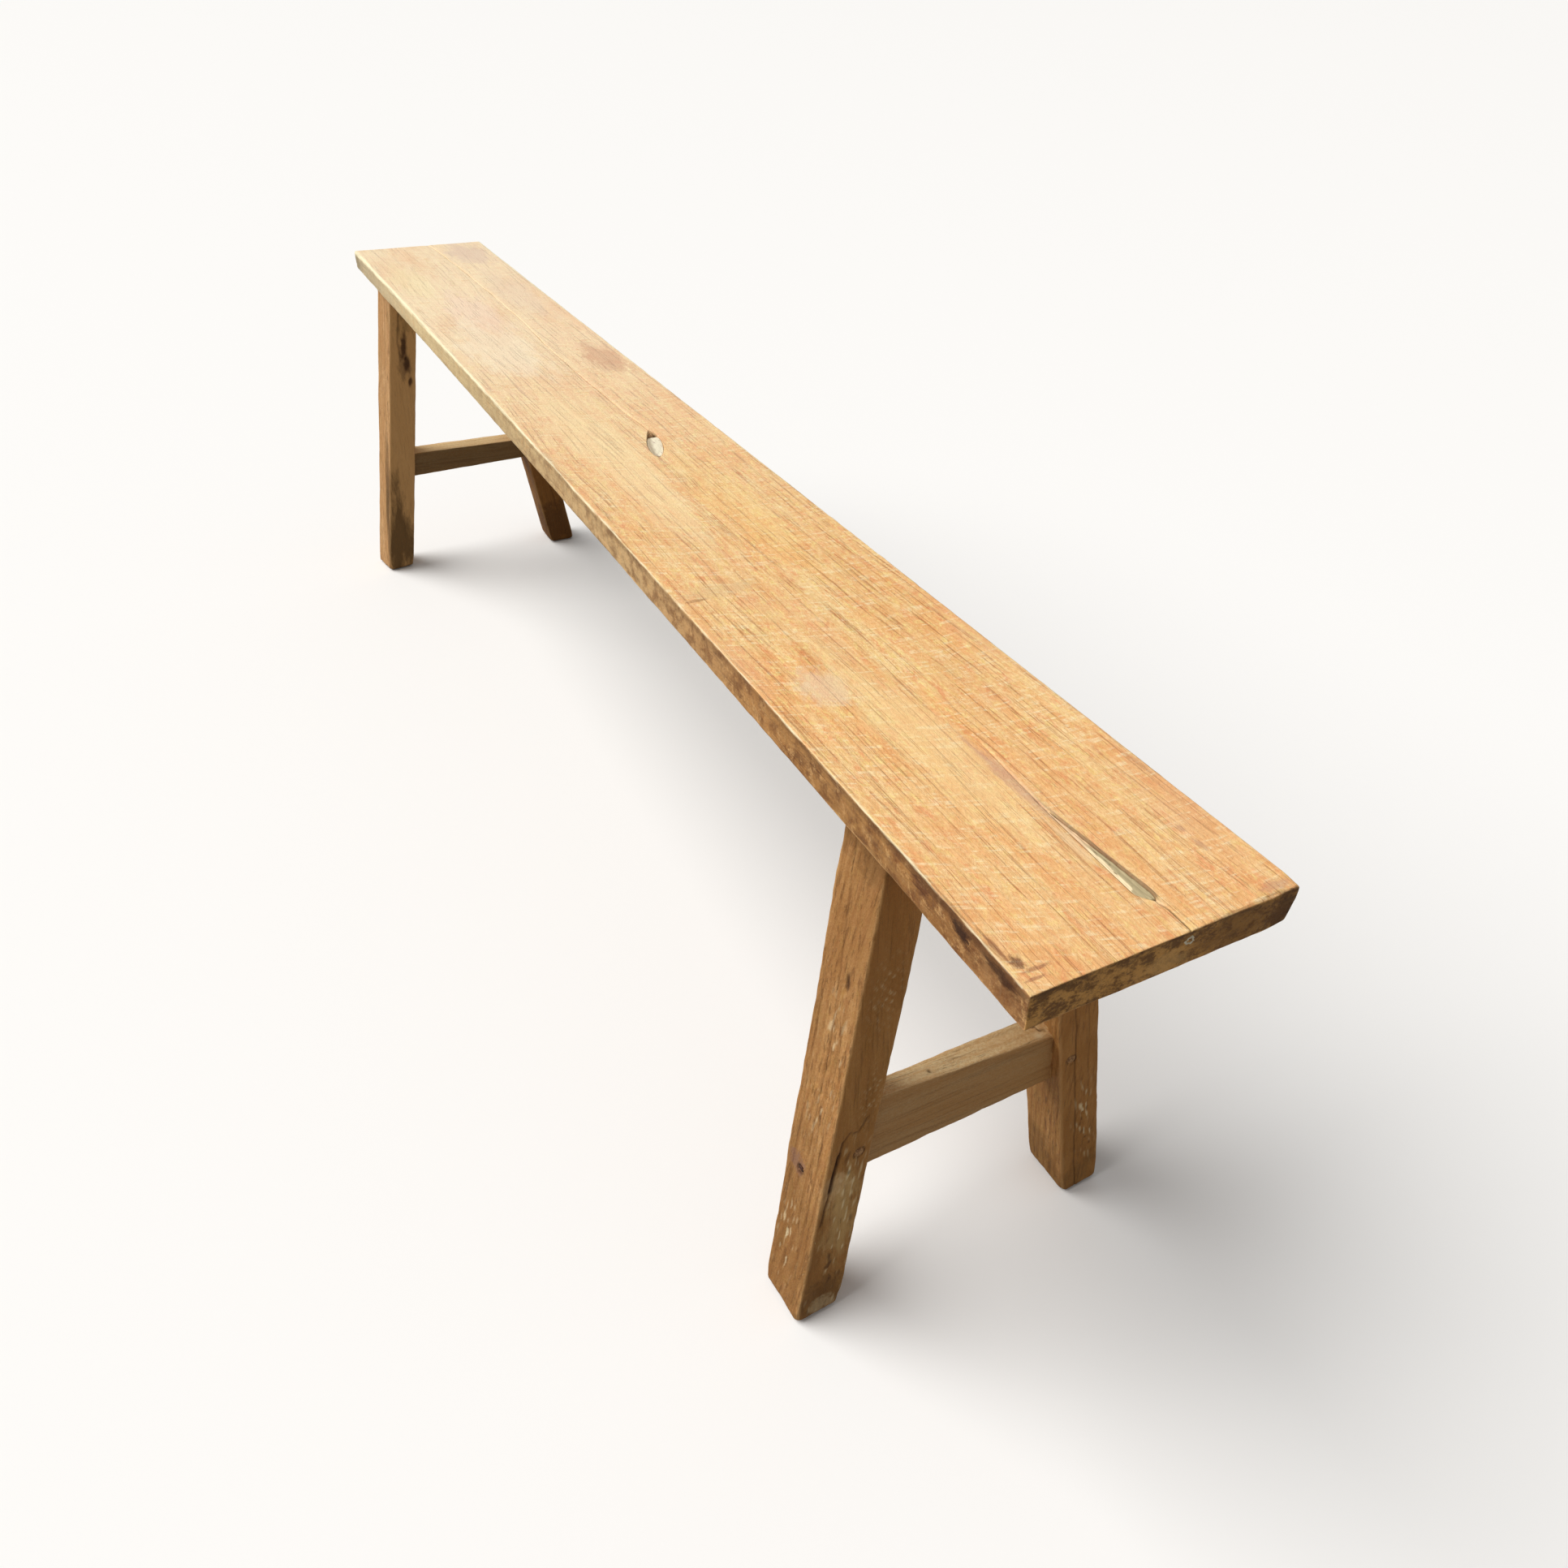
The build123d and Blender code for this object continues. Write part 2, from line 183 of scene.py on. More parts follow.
def make_piece(name, points, faces, marks, material, node):
    """A closed mesh from millimetre points, with its marks as point attributes, riding on
    the bench and standing for its CAD node."""
    mesh = bpy.data.meshes.new(name)
    mesh.from_pydata((points * MM).tolist(), [], faces)
    for mark, values in marks.items():
        layer = mesh.attributes.new(mark, "FLOAT", "POINT")
        layer.data.foreach_set("value", np.clip(values, 0, 1).astype(np.float32))
    mesh.shade_smooth()
    mesh.materials.append(material)
    piece = bpy.data.objects.new(name, mesh)
    bpy.context.scene.collection.objects.link(piece)
    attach(piece, "root")
    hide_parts(node)


# ---------------------------------------------------------------- shader helpers
def add(tree, kind, inputs=None, **settings):
    """A shader node with its settings, and its inputs linked or set."""
    node = tree.nodes.new("ShaderNode" + kind)
    for key, value in settings.items():
        setattr(node, key, value)
    for key, value in (inputs or {}).items():
        if isinstance(value, bpy.types.NodeSocket):
            tree.links.new(value, node.inputs[key])
        else:
            node.inputs[key].default_value = value
    return node


def calc(tree, operation, first, second=0.0, clamp=False):
    """One step of arithmetic."""
    node = add(tree, "Math", {0: first, 1: second}, operation=operation, use_clamp=clamp)
    return node.outputs[0]


def times(tree, first, second):
    """Two values multiplied."""
    return calc(tree, "MULTIPLY", first, second)


def plus(tree, first, second):
    """Two values added."""
    return calc(tree, "ADD", first, second)


def minus(tree, first, second):
    """The second value taken from the first."""
    return calc(tree, "SUBTRACT", first, second)


def vector_step(tree, operation, first, second):
    """One step of arithmetic on vectors."""
    return add(tree, "VectorMath", {0: first, 1: second}, operation=operation).outputs[0]


def length_of(tree, vector):
    """A vector's length."""
    return add(tree, "VectorMath", {0: vector}, operation="LENGTH").outputs["Value"]


def ease(tree, value, low, high, start=0.0, end=1.0):
    """start below low, end above high, eased between."""
    inputs = {"Value": value, "From Min": low, "From Max": high, "To Min": start, "To Max": end}
    return add(tree, "MapRange", inputs, interpolation_type="SMOOTHSTEP").outputs["Result"]


def mix(tree, share, first, second, blend="MIX"):
    """Colour between two colours."""
    node = add(tree, "Mix", {0: share, 6: first, 7: second}, data_type="RGBA", blend_type=blend)
    return node.outputs[2]


def laid(tree, tint, mask, share, over):
    """A colour with another laid over it by a mask of the given strength."""
    return mix(tree, times(tree, mask, share), tint, over)


def even_rise(tree, value, low, high):
    """0 at low, 1 at high, in a straight line."""
    return add(tree, "MapRange", {"Value": value, "From Min": low, "From Max": high}).outputs["Result"]


def ramp(tree, value, stops):
    """Colour led through (place, colour) stops."""
    node = add(tree, "ValToRGB", {"Fac": value})
    points = node.color_ramp.elements
    while len(points) < len(stops):
        points.new(0.5)
    for point, (place, tint) in zip(points, stops):
        point.position = place
        point.color = tint
    return node.outputs["Color"]


def stretched(tree, vector, stretch, turn=(0, 0, 0), shift=(0, 0, 0)):
    """Coordinates scaled, turned and moved by a Mapping node."""
    inputs = {"Vector": vector, "Scale": stretch, "Rotation": turn, "Location": shift}
    return add(tree, "Mapping", inputs).outputs["Vector"]


def noise(tree, vector, stretch, detail=3.0, rough=0.55, distortion=0.0):
    """Noise whose cells are 1 / stretch metres long on each axis."""
    inputs = {"Vector": stretched(tree, vector, stretch), "Scale": 1.0, "Detail": detail,
              "Roughness": rough, "Distortion": distortion}
    return add(tree, "TexNoise", inputs).outputs["Fac"]


def own_mark(tree, name):
    """A piece's own point attribute."""
    return add(tree, "Attribute", attribute_name=name).outputs["Fac"]


def centred_smear(tree, smear, share):
    """Noise brought to stand about 0, and weakened."""
    return times(tree, minus(tree, smear, 0.5), share)


def new_group(name, inputs, outputs):
    """An empty shader group with named sockets.  Each input is (name, kind, value)."""
    tree = bpy.data.node_groups.new(name, "ShaderNodeTree")
    for socket_name, kind, value in inputs:
        kind = "NodeSocket" + kind
        socket = tree.interface.new_socket(socket_name, in_out="INPUT", socket_type=kind)
        if value is not None:
            socket.default_value = value
    for socket_name, kind in outputs:
        tree.interface.new_socket(socket_name, in_out="OUTPUT", socket_type="NodeSocket" + kind)
    return tree, tree.nodes.new("NodeGroupInput").outputs, tree.nodes.new("NodeGroupOutput").inputs


def use_group(tree, group, inputs):
    """A group placed in a material with its own values."""
    return add(tree, "Group", inputs, node_tree=group).outputs


def new_material(name):
    """A material with its node tree, its shader and Object coordinates."""
    material = bpy.data.materials.new(name)
    material.use_nodes = True
    tree = material.node_tree
    return material, tree, tree.nodes["Principled BSDF"], add(tree, "TexCoord").outputs["Object"]


def finish_surface(tree, shader, tint, roughness, height, strength, distance):
    """Colour, roughness and bump led to a shader."""
    bump = add(tree, "Bump", {"Height": height, "Strength": strength, "Distance": distance})
    tree.links.new(tint, shader.inputs["Base Color"])
    tree.links.new(roughness, shader.inputs["Roughness"])
    tree.links.new(bump.outputs["Normal"], shader.inputs["Normal"])


def colour(red, green, blue):
    """Shader colour from the 0 to 255 display values of a swatch."""
    channels = []
    for value in (red, green, blue):
        share = value / 255
        channels.append(share / 12.92 if share <= 0.04045 else ((share + 0.055) / 1.055) ** 2.4)
    return (*channels, 1.0)


# ---------------------------------------------------------------- shader groups
GRIT = colour(226, 202, 170)
WHITE = colour(255, 255, 255)


def build_grain():
    """Teak grain along X: growth rings about a pith line, broad streaks, blotches, coloured
    flecks, fine dark pores and grit.  Gives the colour and a height."""
    colours = [(name, "Color", WHITE) for name in ("Pale", "Warm", "Brown", "Pore", "Yellow", "Pink")]
    shares = [(name + " Share", "Float", 0.5)
              for name in ("Ring", "Streak", "Blotch", "Pore", "Fleck", "Grit")]
    inputs = [("Vector", "Vector", None), ("Pith", "Vector", (0, 0, 0)), ("Ring Width", "Float", 0.006)]
    inputs += colours + shares
    tree, given, out = new_group("teak_grain", inputs, [("Color", "Color"), ("Height", "Float")])
    vector = given["Vector"]
    # the rings wander: coordinates pushed sideways by slow noise
    slow = stretched(tree, vector, (2.2, 9, 9))
    sway = add(tree, "TexNoise", {"Vector": slow, "Scale": 1.0, "Detail": 2.0}).outputs["Color"]
    centred = vector_step(tree, "SUBTRACT", sway, (0.5, 0.5, 0.5))
    pushed = vector_step(tree, "MULTIPLY", centred, (0.0, 0.03, 0.03))
    moved = vector_step(tree, "ADD", vector, pushed)
    from_pith = vector_step(tree, "SUBTRACT", moved, given["Pith"])
    distance = length_of(tree, vector_step(tree, "MULTIPLY", from_pith, (0.0, 1.0, 1.0)))
    uneven = times(tree, noise(tree, vector, (3, 22, 22), 2.0), 2.2)
    turns = plus(tree, calc(tree, "DIVIDE", distance, given["Ring Width"]), uneven)
    wave = calc(tree, "SINE", times(tree, turns, 2 * math.pi))
    ring = ease(tree, wave, -0.2, 1.0)
    streak = ease(tree, noise(tree, moved, (4.5, 95, 95), 4.0, 0.65), 0.40, 0.64)
    fibre = noise(tree, moved, (14, 620, 620), 3.0, 0.65)
    blotch = ease(tree, noise(tree, vector, (9, 24, 24), 4.0, 0.65), 0.42, 0.66)
    pore = ease(tree, noise(tree, moved, (9, 400, 400), 4.0, 0.65), 0.53, 0.68)
    yellow = ease(tree, noise(tree, vector, (85, 190, 190), 4.0, 0.75), 0.50, 0.64)
    pink = ease(tree, noise(tree, moved, (42, 130, 130), 5.0, 0.8), 0.48, 0.68)
    grit = ease(tree, noise(tree, vector, (330, 520, 520), 3.0, 0.75), 0.38, 0.62)
    tint = laid(tree, given["Pale"], streak, given["Streak Share"], given["Warm"])
    tint = laid(tree, tint, blotch, given["Blotch Share"], given["Warm"])
    tint = laid(tree, tint, pink, given["Fleck Share"], given["Pink"])
    tint = laid(tree, tint, yellow, given["Fleck Share"], given["Yellow"])
    tint = laid(tree, tint, ring, given["Ring Share"], given["Brown"])
    fibre_share = times(tree, given["Pore Share"], 0.5)
    tint = laid(tree, tint, ease(tree, fibre, 0.35, 0.7), fibre_share, given["Brown"])
    tint = laid(tree, tint, pore, given["Pore Share"], given["Pore"])
    tint = mix(tree, times(tree, grit, given["Grit Share"]), tint, GRIT, "MULTIPLY")
    tree.links.new(tint, out["Color"])
    height = plus(tree, times(tree, fibre, 0.5), times(tree, ring, 0.2))
    height = minus(tree, height, times(tree, grit, 0.25))
    tree.links.new(minus(tree, height, times(tree, pore, 0.5)), out["Height"])
    return tree


def build_saw_marks():
    """Marks of a circular saw across the grain: ragged ridges that bend with the blade's
    radius and come and go in patches.  Gives masks of ridges and valleys, and a height."""
    inputs = [("Vector", "Vector", None), ("Bend", "Float", 1.5), ("Slant", "Float", 0.0),
              ("Pitch", "Float", 260.0), ("Cover", "Float", 0.5)]
    outputs = [("Mask", "Float"), ("Valley", "Float"), ("Height", "Float")]
    tree, given, out = new_group("saw_marks", inputs, outputs)
    parts = add(tree, "SeparateXYZ", {0: given["Vector"]}).outputs
    arc = times(tree, times(tree, parts["Y"], parts["Y"]), given["Bend"])
    arc = plus(tree, arc, times(tree, parts["Y"], given["Slant"]))
    along = times(tree, plus(tree, parts["X"], arc), given["Pitch"])
    across = times(tree, parts["Y"], 34.0)
    up = times(tree, parts["Z"], 34.0)
    bent = add(tree, "CombineXYZ", {0: along, 1: across, 2: up}).outputs[0]
    ridges = add(tree, "TexNoise", {"Vector": bent, "Scale": 1.0, "Detail": 3.0, "Roughness": 0.6})
    ridges = ridges.outputs["Fac"]
    patch = noise(tree, given["Vector"], (10, 16, 16), 3.0, 0.6)
    cover = ease(tree, plus(tree, patch, given["Cover"]), 0.9, 1.15)
    ragged = ease(tree, noise(tree, given["Vector"], (110, 260, 260), 4.0, 0.7), 0.4, 0.62)
    for name, bottom, top in (("Mask", 0.5, 0.66), ("Valley", 0.44, 0.34)):
        level = ease(tree, ridges, bottom, top)
        tree.links.new(times(tree, level, times(tree, cover, ragged)), out[name])
    tree.links.new(times(tree, ridges, cover), out["Height"])
    return tree


def build_wear():
    """Wear: a mask that is strong along arrises and breaks up with noise, and one of loose
    scratches and dents along the grain."""
    inputs = [("Vector", "Vector", None), ("Arris", "Float", 0.0), ("Reach", "Float", 0.5),
              ("Scratches", "Float", 0.3)]
    tree, given, out = new_group("worn_wood", inputs, [("Edge", "Float"), ("Scratch", "Float")])
    ragged = noise(tree, given["Vector"], (35, 260, 260), 4.0, 0.65)
    edge = plus(tree, given["Arris"], times(tree, minus(tree, ragged, 0.5), 1.1))
    start = minus(tree, 1.0, given["Reach"])
    edge = calc(tree, "DIVIDE", minus(tree, edge, start), 0.35, clamp=True)
    tree.links.new(edge, out["Edge"])
    nicks = noise(tree, given["Vector"], (90, 620, 620), 3.0, 0.7)
    places = noise(tree, given["Vector"], (9, 30, 30), 2.0, 0.5)
    level = plus(tree, nicks, times(tree, places, given["Scratches"]))
    tree.links.new(ease(tree, level, 0.78, 0.86), out["Scratch"])
    return tree


def build_grime():
    """Grime and weathering: soft stains of two sizes."""
    inputs = [("Vector", "Vector", None), ("Amount", "Float", 0.5)]
    tree, given, out = new_group("grime", inputs, [("Stain", "Float"), ("Smudge", "Float")])
    wide = noise(tree, given["Vector"], (4, 13, 13), 4.0, 0.6)
    small = noise(tree, given["Vector"], (22, 60, 60), 4.0, 0.7)
    for value, low, name in ((wide, 0.48, "Stain"), (small, 0.56, "Smudge")):
        mask = ease(tree, value, low, low + 0.2)
        tree.links.new(times(tree, mask, given["Amount"]), out[name])
    return tree


def build_spot():
    """A ragged oval spot at one place, used both for stains and for painted shade: a mask
    from the distance to its centre over its half sizes, shaken by noise."""
    inputs = [("Vector", "Vector", None), ("Centre", "Vector", (0, 0, 0)),
              ("Half Size", "Vector", (0.01, 0.01, 0.01)), ("Shake", "Float", 1.1)]
    tree, given, out = new_group("ragged_spot", inputs, [("Mask", "Float")])
    away = vector_step(tree, "SUBTRACT", given["Vector"], given["Centre"])
    scaled = vector_step(tree, "DIVIDE", away, given["Half Size"])
    centred = minus(tree, noise(tree, scaled, (1.6, 1.6, 1.6), 5.0, 0.7), 0.5)
    shaken = times(tree, centred, given["Shake"])
    inner = plus(tree, length_of(tree, scaled), times(tree, shaken, 2.0))
    tree.links.new(ease(tree, inner, 0.45, 1.1, 1.0, 0.0), out["Mask"])
    return tree


GRAIN = build_grain()
SAW_MARKS = build_saw_marks()
WEAR = build_wear()
GRIME = build_grime()
SPOT = build_spot()


# ---------------------------------------------------------------- wood finishes
# painted highlights on lips and ridges, and pale wood at chips and flecks
HIGHLIGHT_AND_PALE_WOOD_SHARE = 0.8
WAXED_GLOSS = 0.2


def picked(finish, group, prefix=""):
    """A finish's values for a group's inputs: each key is the input's name, with the prefix."""
    names = [item.name for item in group.interface.items_tree if item.in_out == "INPUT"]
    names.remove("Vector")
    return {name: finish[prefix + name.lower().replace(" ", "_")] for name in names}


def plank_tints(tree, place, finish, tint):
    """Colours that change along the plank: the top's with its zones laid on, the sides'
    from stops along X with dark and pale mottle, and the end faces' with dark mottle.
    The zones and the stops are partly the wood's own colour and partly painted light,
    brighter towards the left end."""
    along = add(tree, "SeparateXYZ", {0: place}).outputs["X"]
    for low, high, share, zone_tint in finish["zones"]:
        start, end = (0.0, share) if high > low else (share, 0.0)
        tint = mix(tree, ease(tree, along, min(low, high), max(low, high), start, end), tint, zone_tint)
    half_length = SEAT_HALF_LENGTH * MM
    leaning = stretched(tree, place, (1, 1, 1), turn=(0, 0.6, 0))
    side_tint = ramp(tree, even_rise(tree, along, -half_length, half_length), finish["side_stops"])
    mottle = ease(tree, noise(tree, leaning, (60, 260, 70), 5.0, 0.7), 0.40, 0.66)
    mottle = times(tree, mottle, ease(tree, along, -0.6, 0.85, 0.15, 0.95))
    side_tint = mix(tree, mottle, side_tint, finish["side_mottle"])
    pale = ease(tree, noise(tree, leaning, (110, 90, 90), 5.0, 0.8), 0.53, 0.64, 0.0, 0.5)
    side_tint = mix(tree, pale, side_tint, finish["side_pale"])
    end_mottle = ease(tree, noise(tree, place, (60, 70, 110), 5.0, 0.8), 0.42, 0.60, 0.0, 0.85)
    return tint, side_tint, mix(tree, end_mottle, finish["end_tint"], finish["end_mottle"])


def wood(name, finish, turn, spots=()):
    """Teak with its grain turned along the piece.  The finish gives its colours and how
    strong each effect is; each spot is (centre, half size, colour, strength)."""
    material, tree, shader, place = new_material(name)
    along = stretched(tree, place, (1, 1, 1), turn=turn)
    grain = use_group(tree, GRAIN, {"Vector": along, **picked(finish, GRAIN)})
    saw = use_group(tree, SAW_MARKS, {"Vector": along, **picked(finish, SAW_MARKS, "saw_")})
    wear = use_group(tree, WEAR, {"Vector": along, "Arris": own_mark(tree, "arris"),
                                  "Reach": finish["edge_reach"], "Scratches": finish["scratches"]})
    grime = use_group(tree, GRIME, {"Vector": along, "Amount": finish["grime"]})
    if "zones" in finish:
        tint, side_tint, end_tint = plank_tints(tree, place, finish, grain["Color"])
    else:
        tint, side_tint, end_tint = grain["Color"], finish["side_tint"], finish["end_tint"]
    tint = mix(tree, grime["Stain"], tint, finish["stain"])
    tint = mix(tree, grime["Smudge"], tint, finish["smudge"])
    tint = laid(tree, tint, saw["Valley"], finish["valley_share"], finish["valley_tint"])
    tint = laid(tree, tint, saw["Mask"], finish["saw_share"], finish["saw_tint"])
    # painted shade on the faces marked side: the legs' faces towards the ends and the stretchers' broad
    # faces are darker; on the plank's front and back this is its own colour with painted light along it
    tint = laid(tree, tint, own_mark(tree, "side"), finish["side_share"], side_tint)
    # the end grain's colour; on the stretchers this mark lies on the underside, as painted shade
    tint = laid(tree, tint, own_mark(tree, "end"), finish["end_share"], end_tint)
    for centre, half_size, spot_colour, strength in spots:
        spot = use_group(tree, SPOT, {"Vector": place, "Centre": centre, "Half Size": half_size})
        tint = laid(tree, tint, spot["Mask"], strength, spot_colour)
    tint = laid(tree, tint, wear["Scratch"], finish["scratch_share"], finish["scratch_tint"])
    # wear along the arrises; on the seat it is also a painted highlight
    tint = laid(tree, tint, wear["Edge"], finish["edge_share"], finish["edge_tint"])
    # painted highlights on lips and ridges, and pale wood at chips, flecks and the split's lump
    tint = laid(tree, tint, own_mark(tree, "lip"), HIGHLIGHT_AND_PALE_WOOD_SHARE, finish["lip_tint"])
    # painted shade in grooves, cracks, holes, rims and under arrises, and the dark of knots
    tint = mix(tree, own_mark(tree, "hollow"), tint, finish["hollow_tint"])
    roughness = plus(tree, times(tree, grain["Height"], 0.25), finish["roughness"])
    height = plus(tree, times(tree, grain["Height"], finish["grain_relief"]),
                  times(tree, saw["Height"], finish["saw_relief"]))
    height = minus(tree, height, times(tree, wear["Scratch"], 0.25))
    finish_surface(tree, shader, tint, roughness, height, finish["bump"], 0.0012)
    shader.inputs["Specular IOR Level"].default_value = WAXED_GLOSS
    return material


SEAT_FINISH = {
    "pale": colour(255, 226, 168), "warm": colour(248, 182, 114), "brown": colour(224, 154, 88),
    "pore": colour(180, 112, 62), "pith": (0.0, 0.05, 0.30), "ring_width": 0.0075,
    "ring_share": 0.2, "streak_share": 0.5, "blotch_share": 0.7, "pore_share": 0.6,
    "fleck_share": 0.8, "yellow": colour(255, 232, 156), "pink": colour(240, 160, 112),
    "saw_bend": 1.3, "saw_pitch": 280.0, "saw_cover": 0.75, "saw_slant": -0.25,
    "saw_share": 0.6, "saw_tint": colour(255, 238, 194),
    "valley_share": 0.4, "valley_tint": colour(226, 160, 98),
    # the pale arrises are wear and a painted highlight
    "edge_reach": 0.5, "edge_share": 0.85, "edge_tint": colour(255, 244, 206),
    "scratches": 0.2, "scratch_share": 0.3, "scratch_tint": colour(250, 220, 170),
    "grime": 0.4, "stain": colour(238, 186, 142), "smudge": colour(232, 206, 146),
    "side_share": 0.92, "end_share": 0.95, "end_tint": colour(206, 154, 84),
    # colours of the painted highlights on lips and of the painted shade in hollows
    "lip_tint": colour(252, 222, 178), "hollow_tint": colour(88, 62, 40), "grit_share": 0.5,
    "roughness": 0.5, "grain_relief": 0.5, "saw_relief": 0.6, "bump": 0.9,
}
# what changes along the plank: zones as (from, to, strength there, colour) in metres;
# the zones and the side stops are partly the wood's own colour and partly painted
# light, brighter towards the left end
PLANK_FINISH = dict(SEAT_FINISH, **{
    "zones": [(0.45, -0.55, 0.68, colour(255, 240, 210)), (0.5, 0.88, 0.25, colour(244, 180, 124))],
    "side_stops": [
        (0.0, colour(204, 188, 154)), (0.25, colour(232, 208, 158)), (0.44, colour(214, 188, 140)),
        (0.67, colour(214, 178, 128)), (0.81, colour(184, 132, 76)), (0.90, colour(174, 126, 72)),
        (0.95, colour(152, 104, 56)), (1.0, colour(166, 122, 78))],
    "side_mottle": colour(112, 66, 30), "side_pale": colour(230, 182, 122),
    "end_mottle": colour(84, 48, 10),
})
LEG_FINISH = dict(SEAT_FINISH, **{
    "pale": colour(204, 158, 104), "warm": colour(184, 134, 80), "brown": colour(150, 102, 56),
    "pore": colour(104, 66, 34), "pith": (0.0, 0.05, 0.09), "ring_width": 0.008,
    "ring_share": 0.4, "streak_share": 0.7, "blotch_share": 0.5, "pore_share": 0.62,
    "fleck_share": 0.45, "yellow": colour(190, 150, 84), "pink": colour(184, 130, 88),
    "saw_bend": 4.0, "saw_pitch": 300.0, "saw_cover": 0.3, "saw_slant": 0.0,
    "saw_share": 0.3, "saw_tint": colour(206, 166, 112),
    "valley_share": 0.2, "valley_tint": colour(130, 86, 44),
    "edge_reach": 0.4, "edge_share": 0.35, "edge_tint": colour(216, 172, 118),
    "scratches": 0.2, "scratch_share": 0.55, "scratch_tint": colour(226, 192, 144),
    "grime": 0.5, "stain": colour(150, 104, 58), "smudge": colour(160, 128, 74),
    # painted shade: the faces towards the ends are darker
    "side_share": 0.45, "side_tint": colour(176, 122, 54),
    "end_share": 0.6, "end_tint": colour(120, 84, 50),
    # colours of the painted highlights on lips and of the painted shade in hollows
    "lip_tint": colour(255, 236, 192), "hollow_tint": colour(74, 44, 20),
})
# painted light and shade: a very pale base so that the stretchers' tops, in the seat's shade, read as lit,
# with darker broad faces and a dark underside
STRETCHER_FINISH = dict(LEG_FINISH, **{
    "pale": colour(255, 234, 186), "warm": colour(250, 214, 158), "brown": colour(216, 170, 114),
    "pith": (0.0, 0.10, 0.02), "ring_width": 0.009, "scratches": 0.1, "saw_cover": 0.1,
    "grime": 0.25, "stain": colour(232, 190, 130), "smudge": colour(236, 206, 146), "fleck_share": 0.2,
    "yellow": colour(240, 208, 140), "pink": colour(236, 190, 140), "pore_share": 0.4, "ring_share": 0.25,
    "edge_share": 0.2, "side_share": 0.7, "side_tint": colour(158, 106, 50),
})
# painted shade: the left stretcher's broad faces are much darker
LEFT_STRETCHER_FINISH = dict(STRETCHER_FINISH, **{"side_share": 0.85, "side_tint": colour(96, 64, 24)})
# painted shade: the right back leg is a little darker than the right front one, as it stands in shade
SHADED_RIGHT_BACK_FINISH = dict(LEG_FINISH, **{
    "pale": colour(198, 152, 98), "warm": colour(176, 126, 72), "brown": colour(142, 96, 48),
    "side_share": 0.5, "side_tint": colour(184, 126, 62),
})
# painted light and shade: the left front leg is paler on its front and back, as the
# left end gets more light; the left back leg is darker all round, as it stands in shade
LIT_LEFT_FRONT_FINISH = dict(LEG_FINISH, **{
    "pale": colour(230, 190, 140), "warm": colour(210, 164, 114), "brown": colour(170, 124, 76),
    "stain": colour(190, 140, 88), "side_share": 0.8, "side_tint": colour(216, 170, 112),
})
SHADED_LEFT_BACK_FINISH = dict(LEG_FINISH, **{
    "pale": colour(166, 120, 68), "warm": colour(146, 98, 50), "brown": colour(114, 72, 34),
    "stain": colour(116, 76, 36), "pore": colour(80, 50, 22), "side_tint": colour(148, 98, 38),
})
LEG_FINISHES = {"right_front": LEG_FINISH, "right_back": SHADED_RIGHT_BACK_FINISH,
                "left_front": LIT_LEFT_FRONT_FINISH, "left_back": SHADED_LEFT_BACK_FINISH}

UP_GRAIN = (0.0, math.pi / 2, 0.0)
ACROSS_GRAIN = (0.0, 0.0, -math.pi / 2)
PURPLE_GREY = colour(150, 116, 108)
DARK_KNOT = colour(58, 36, 22)

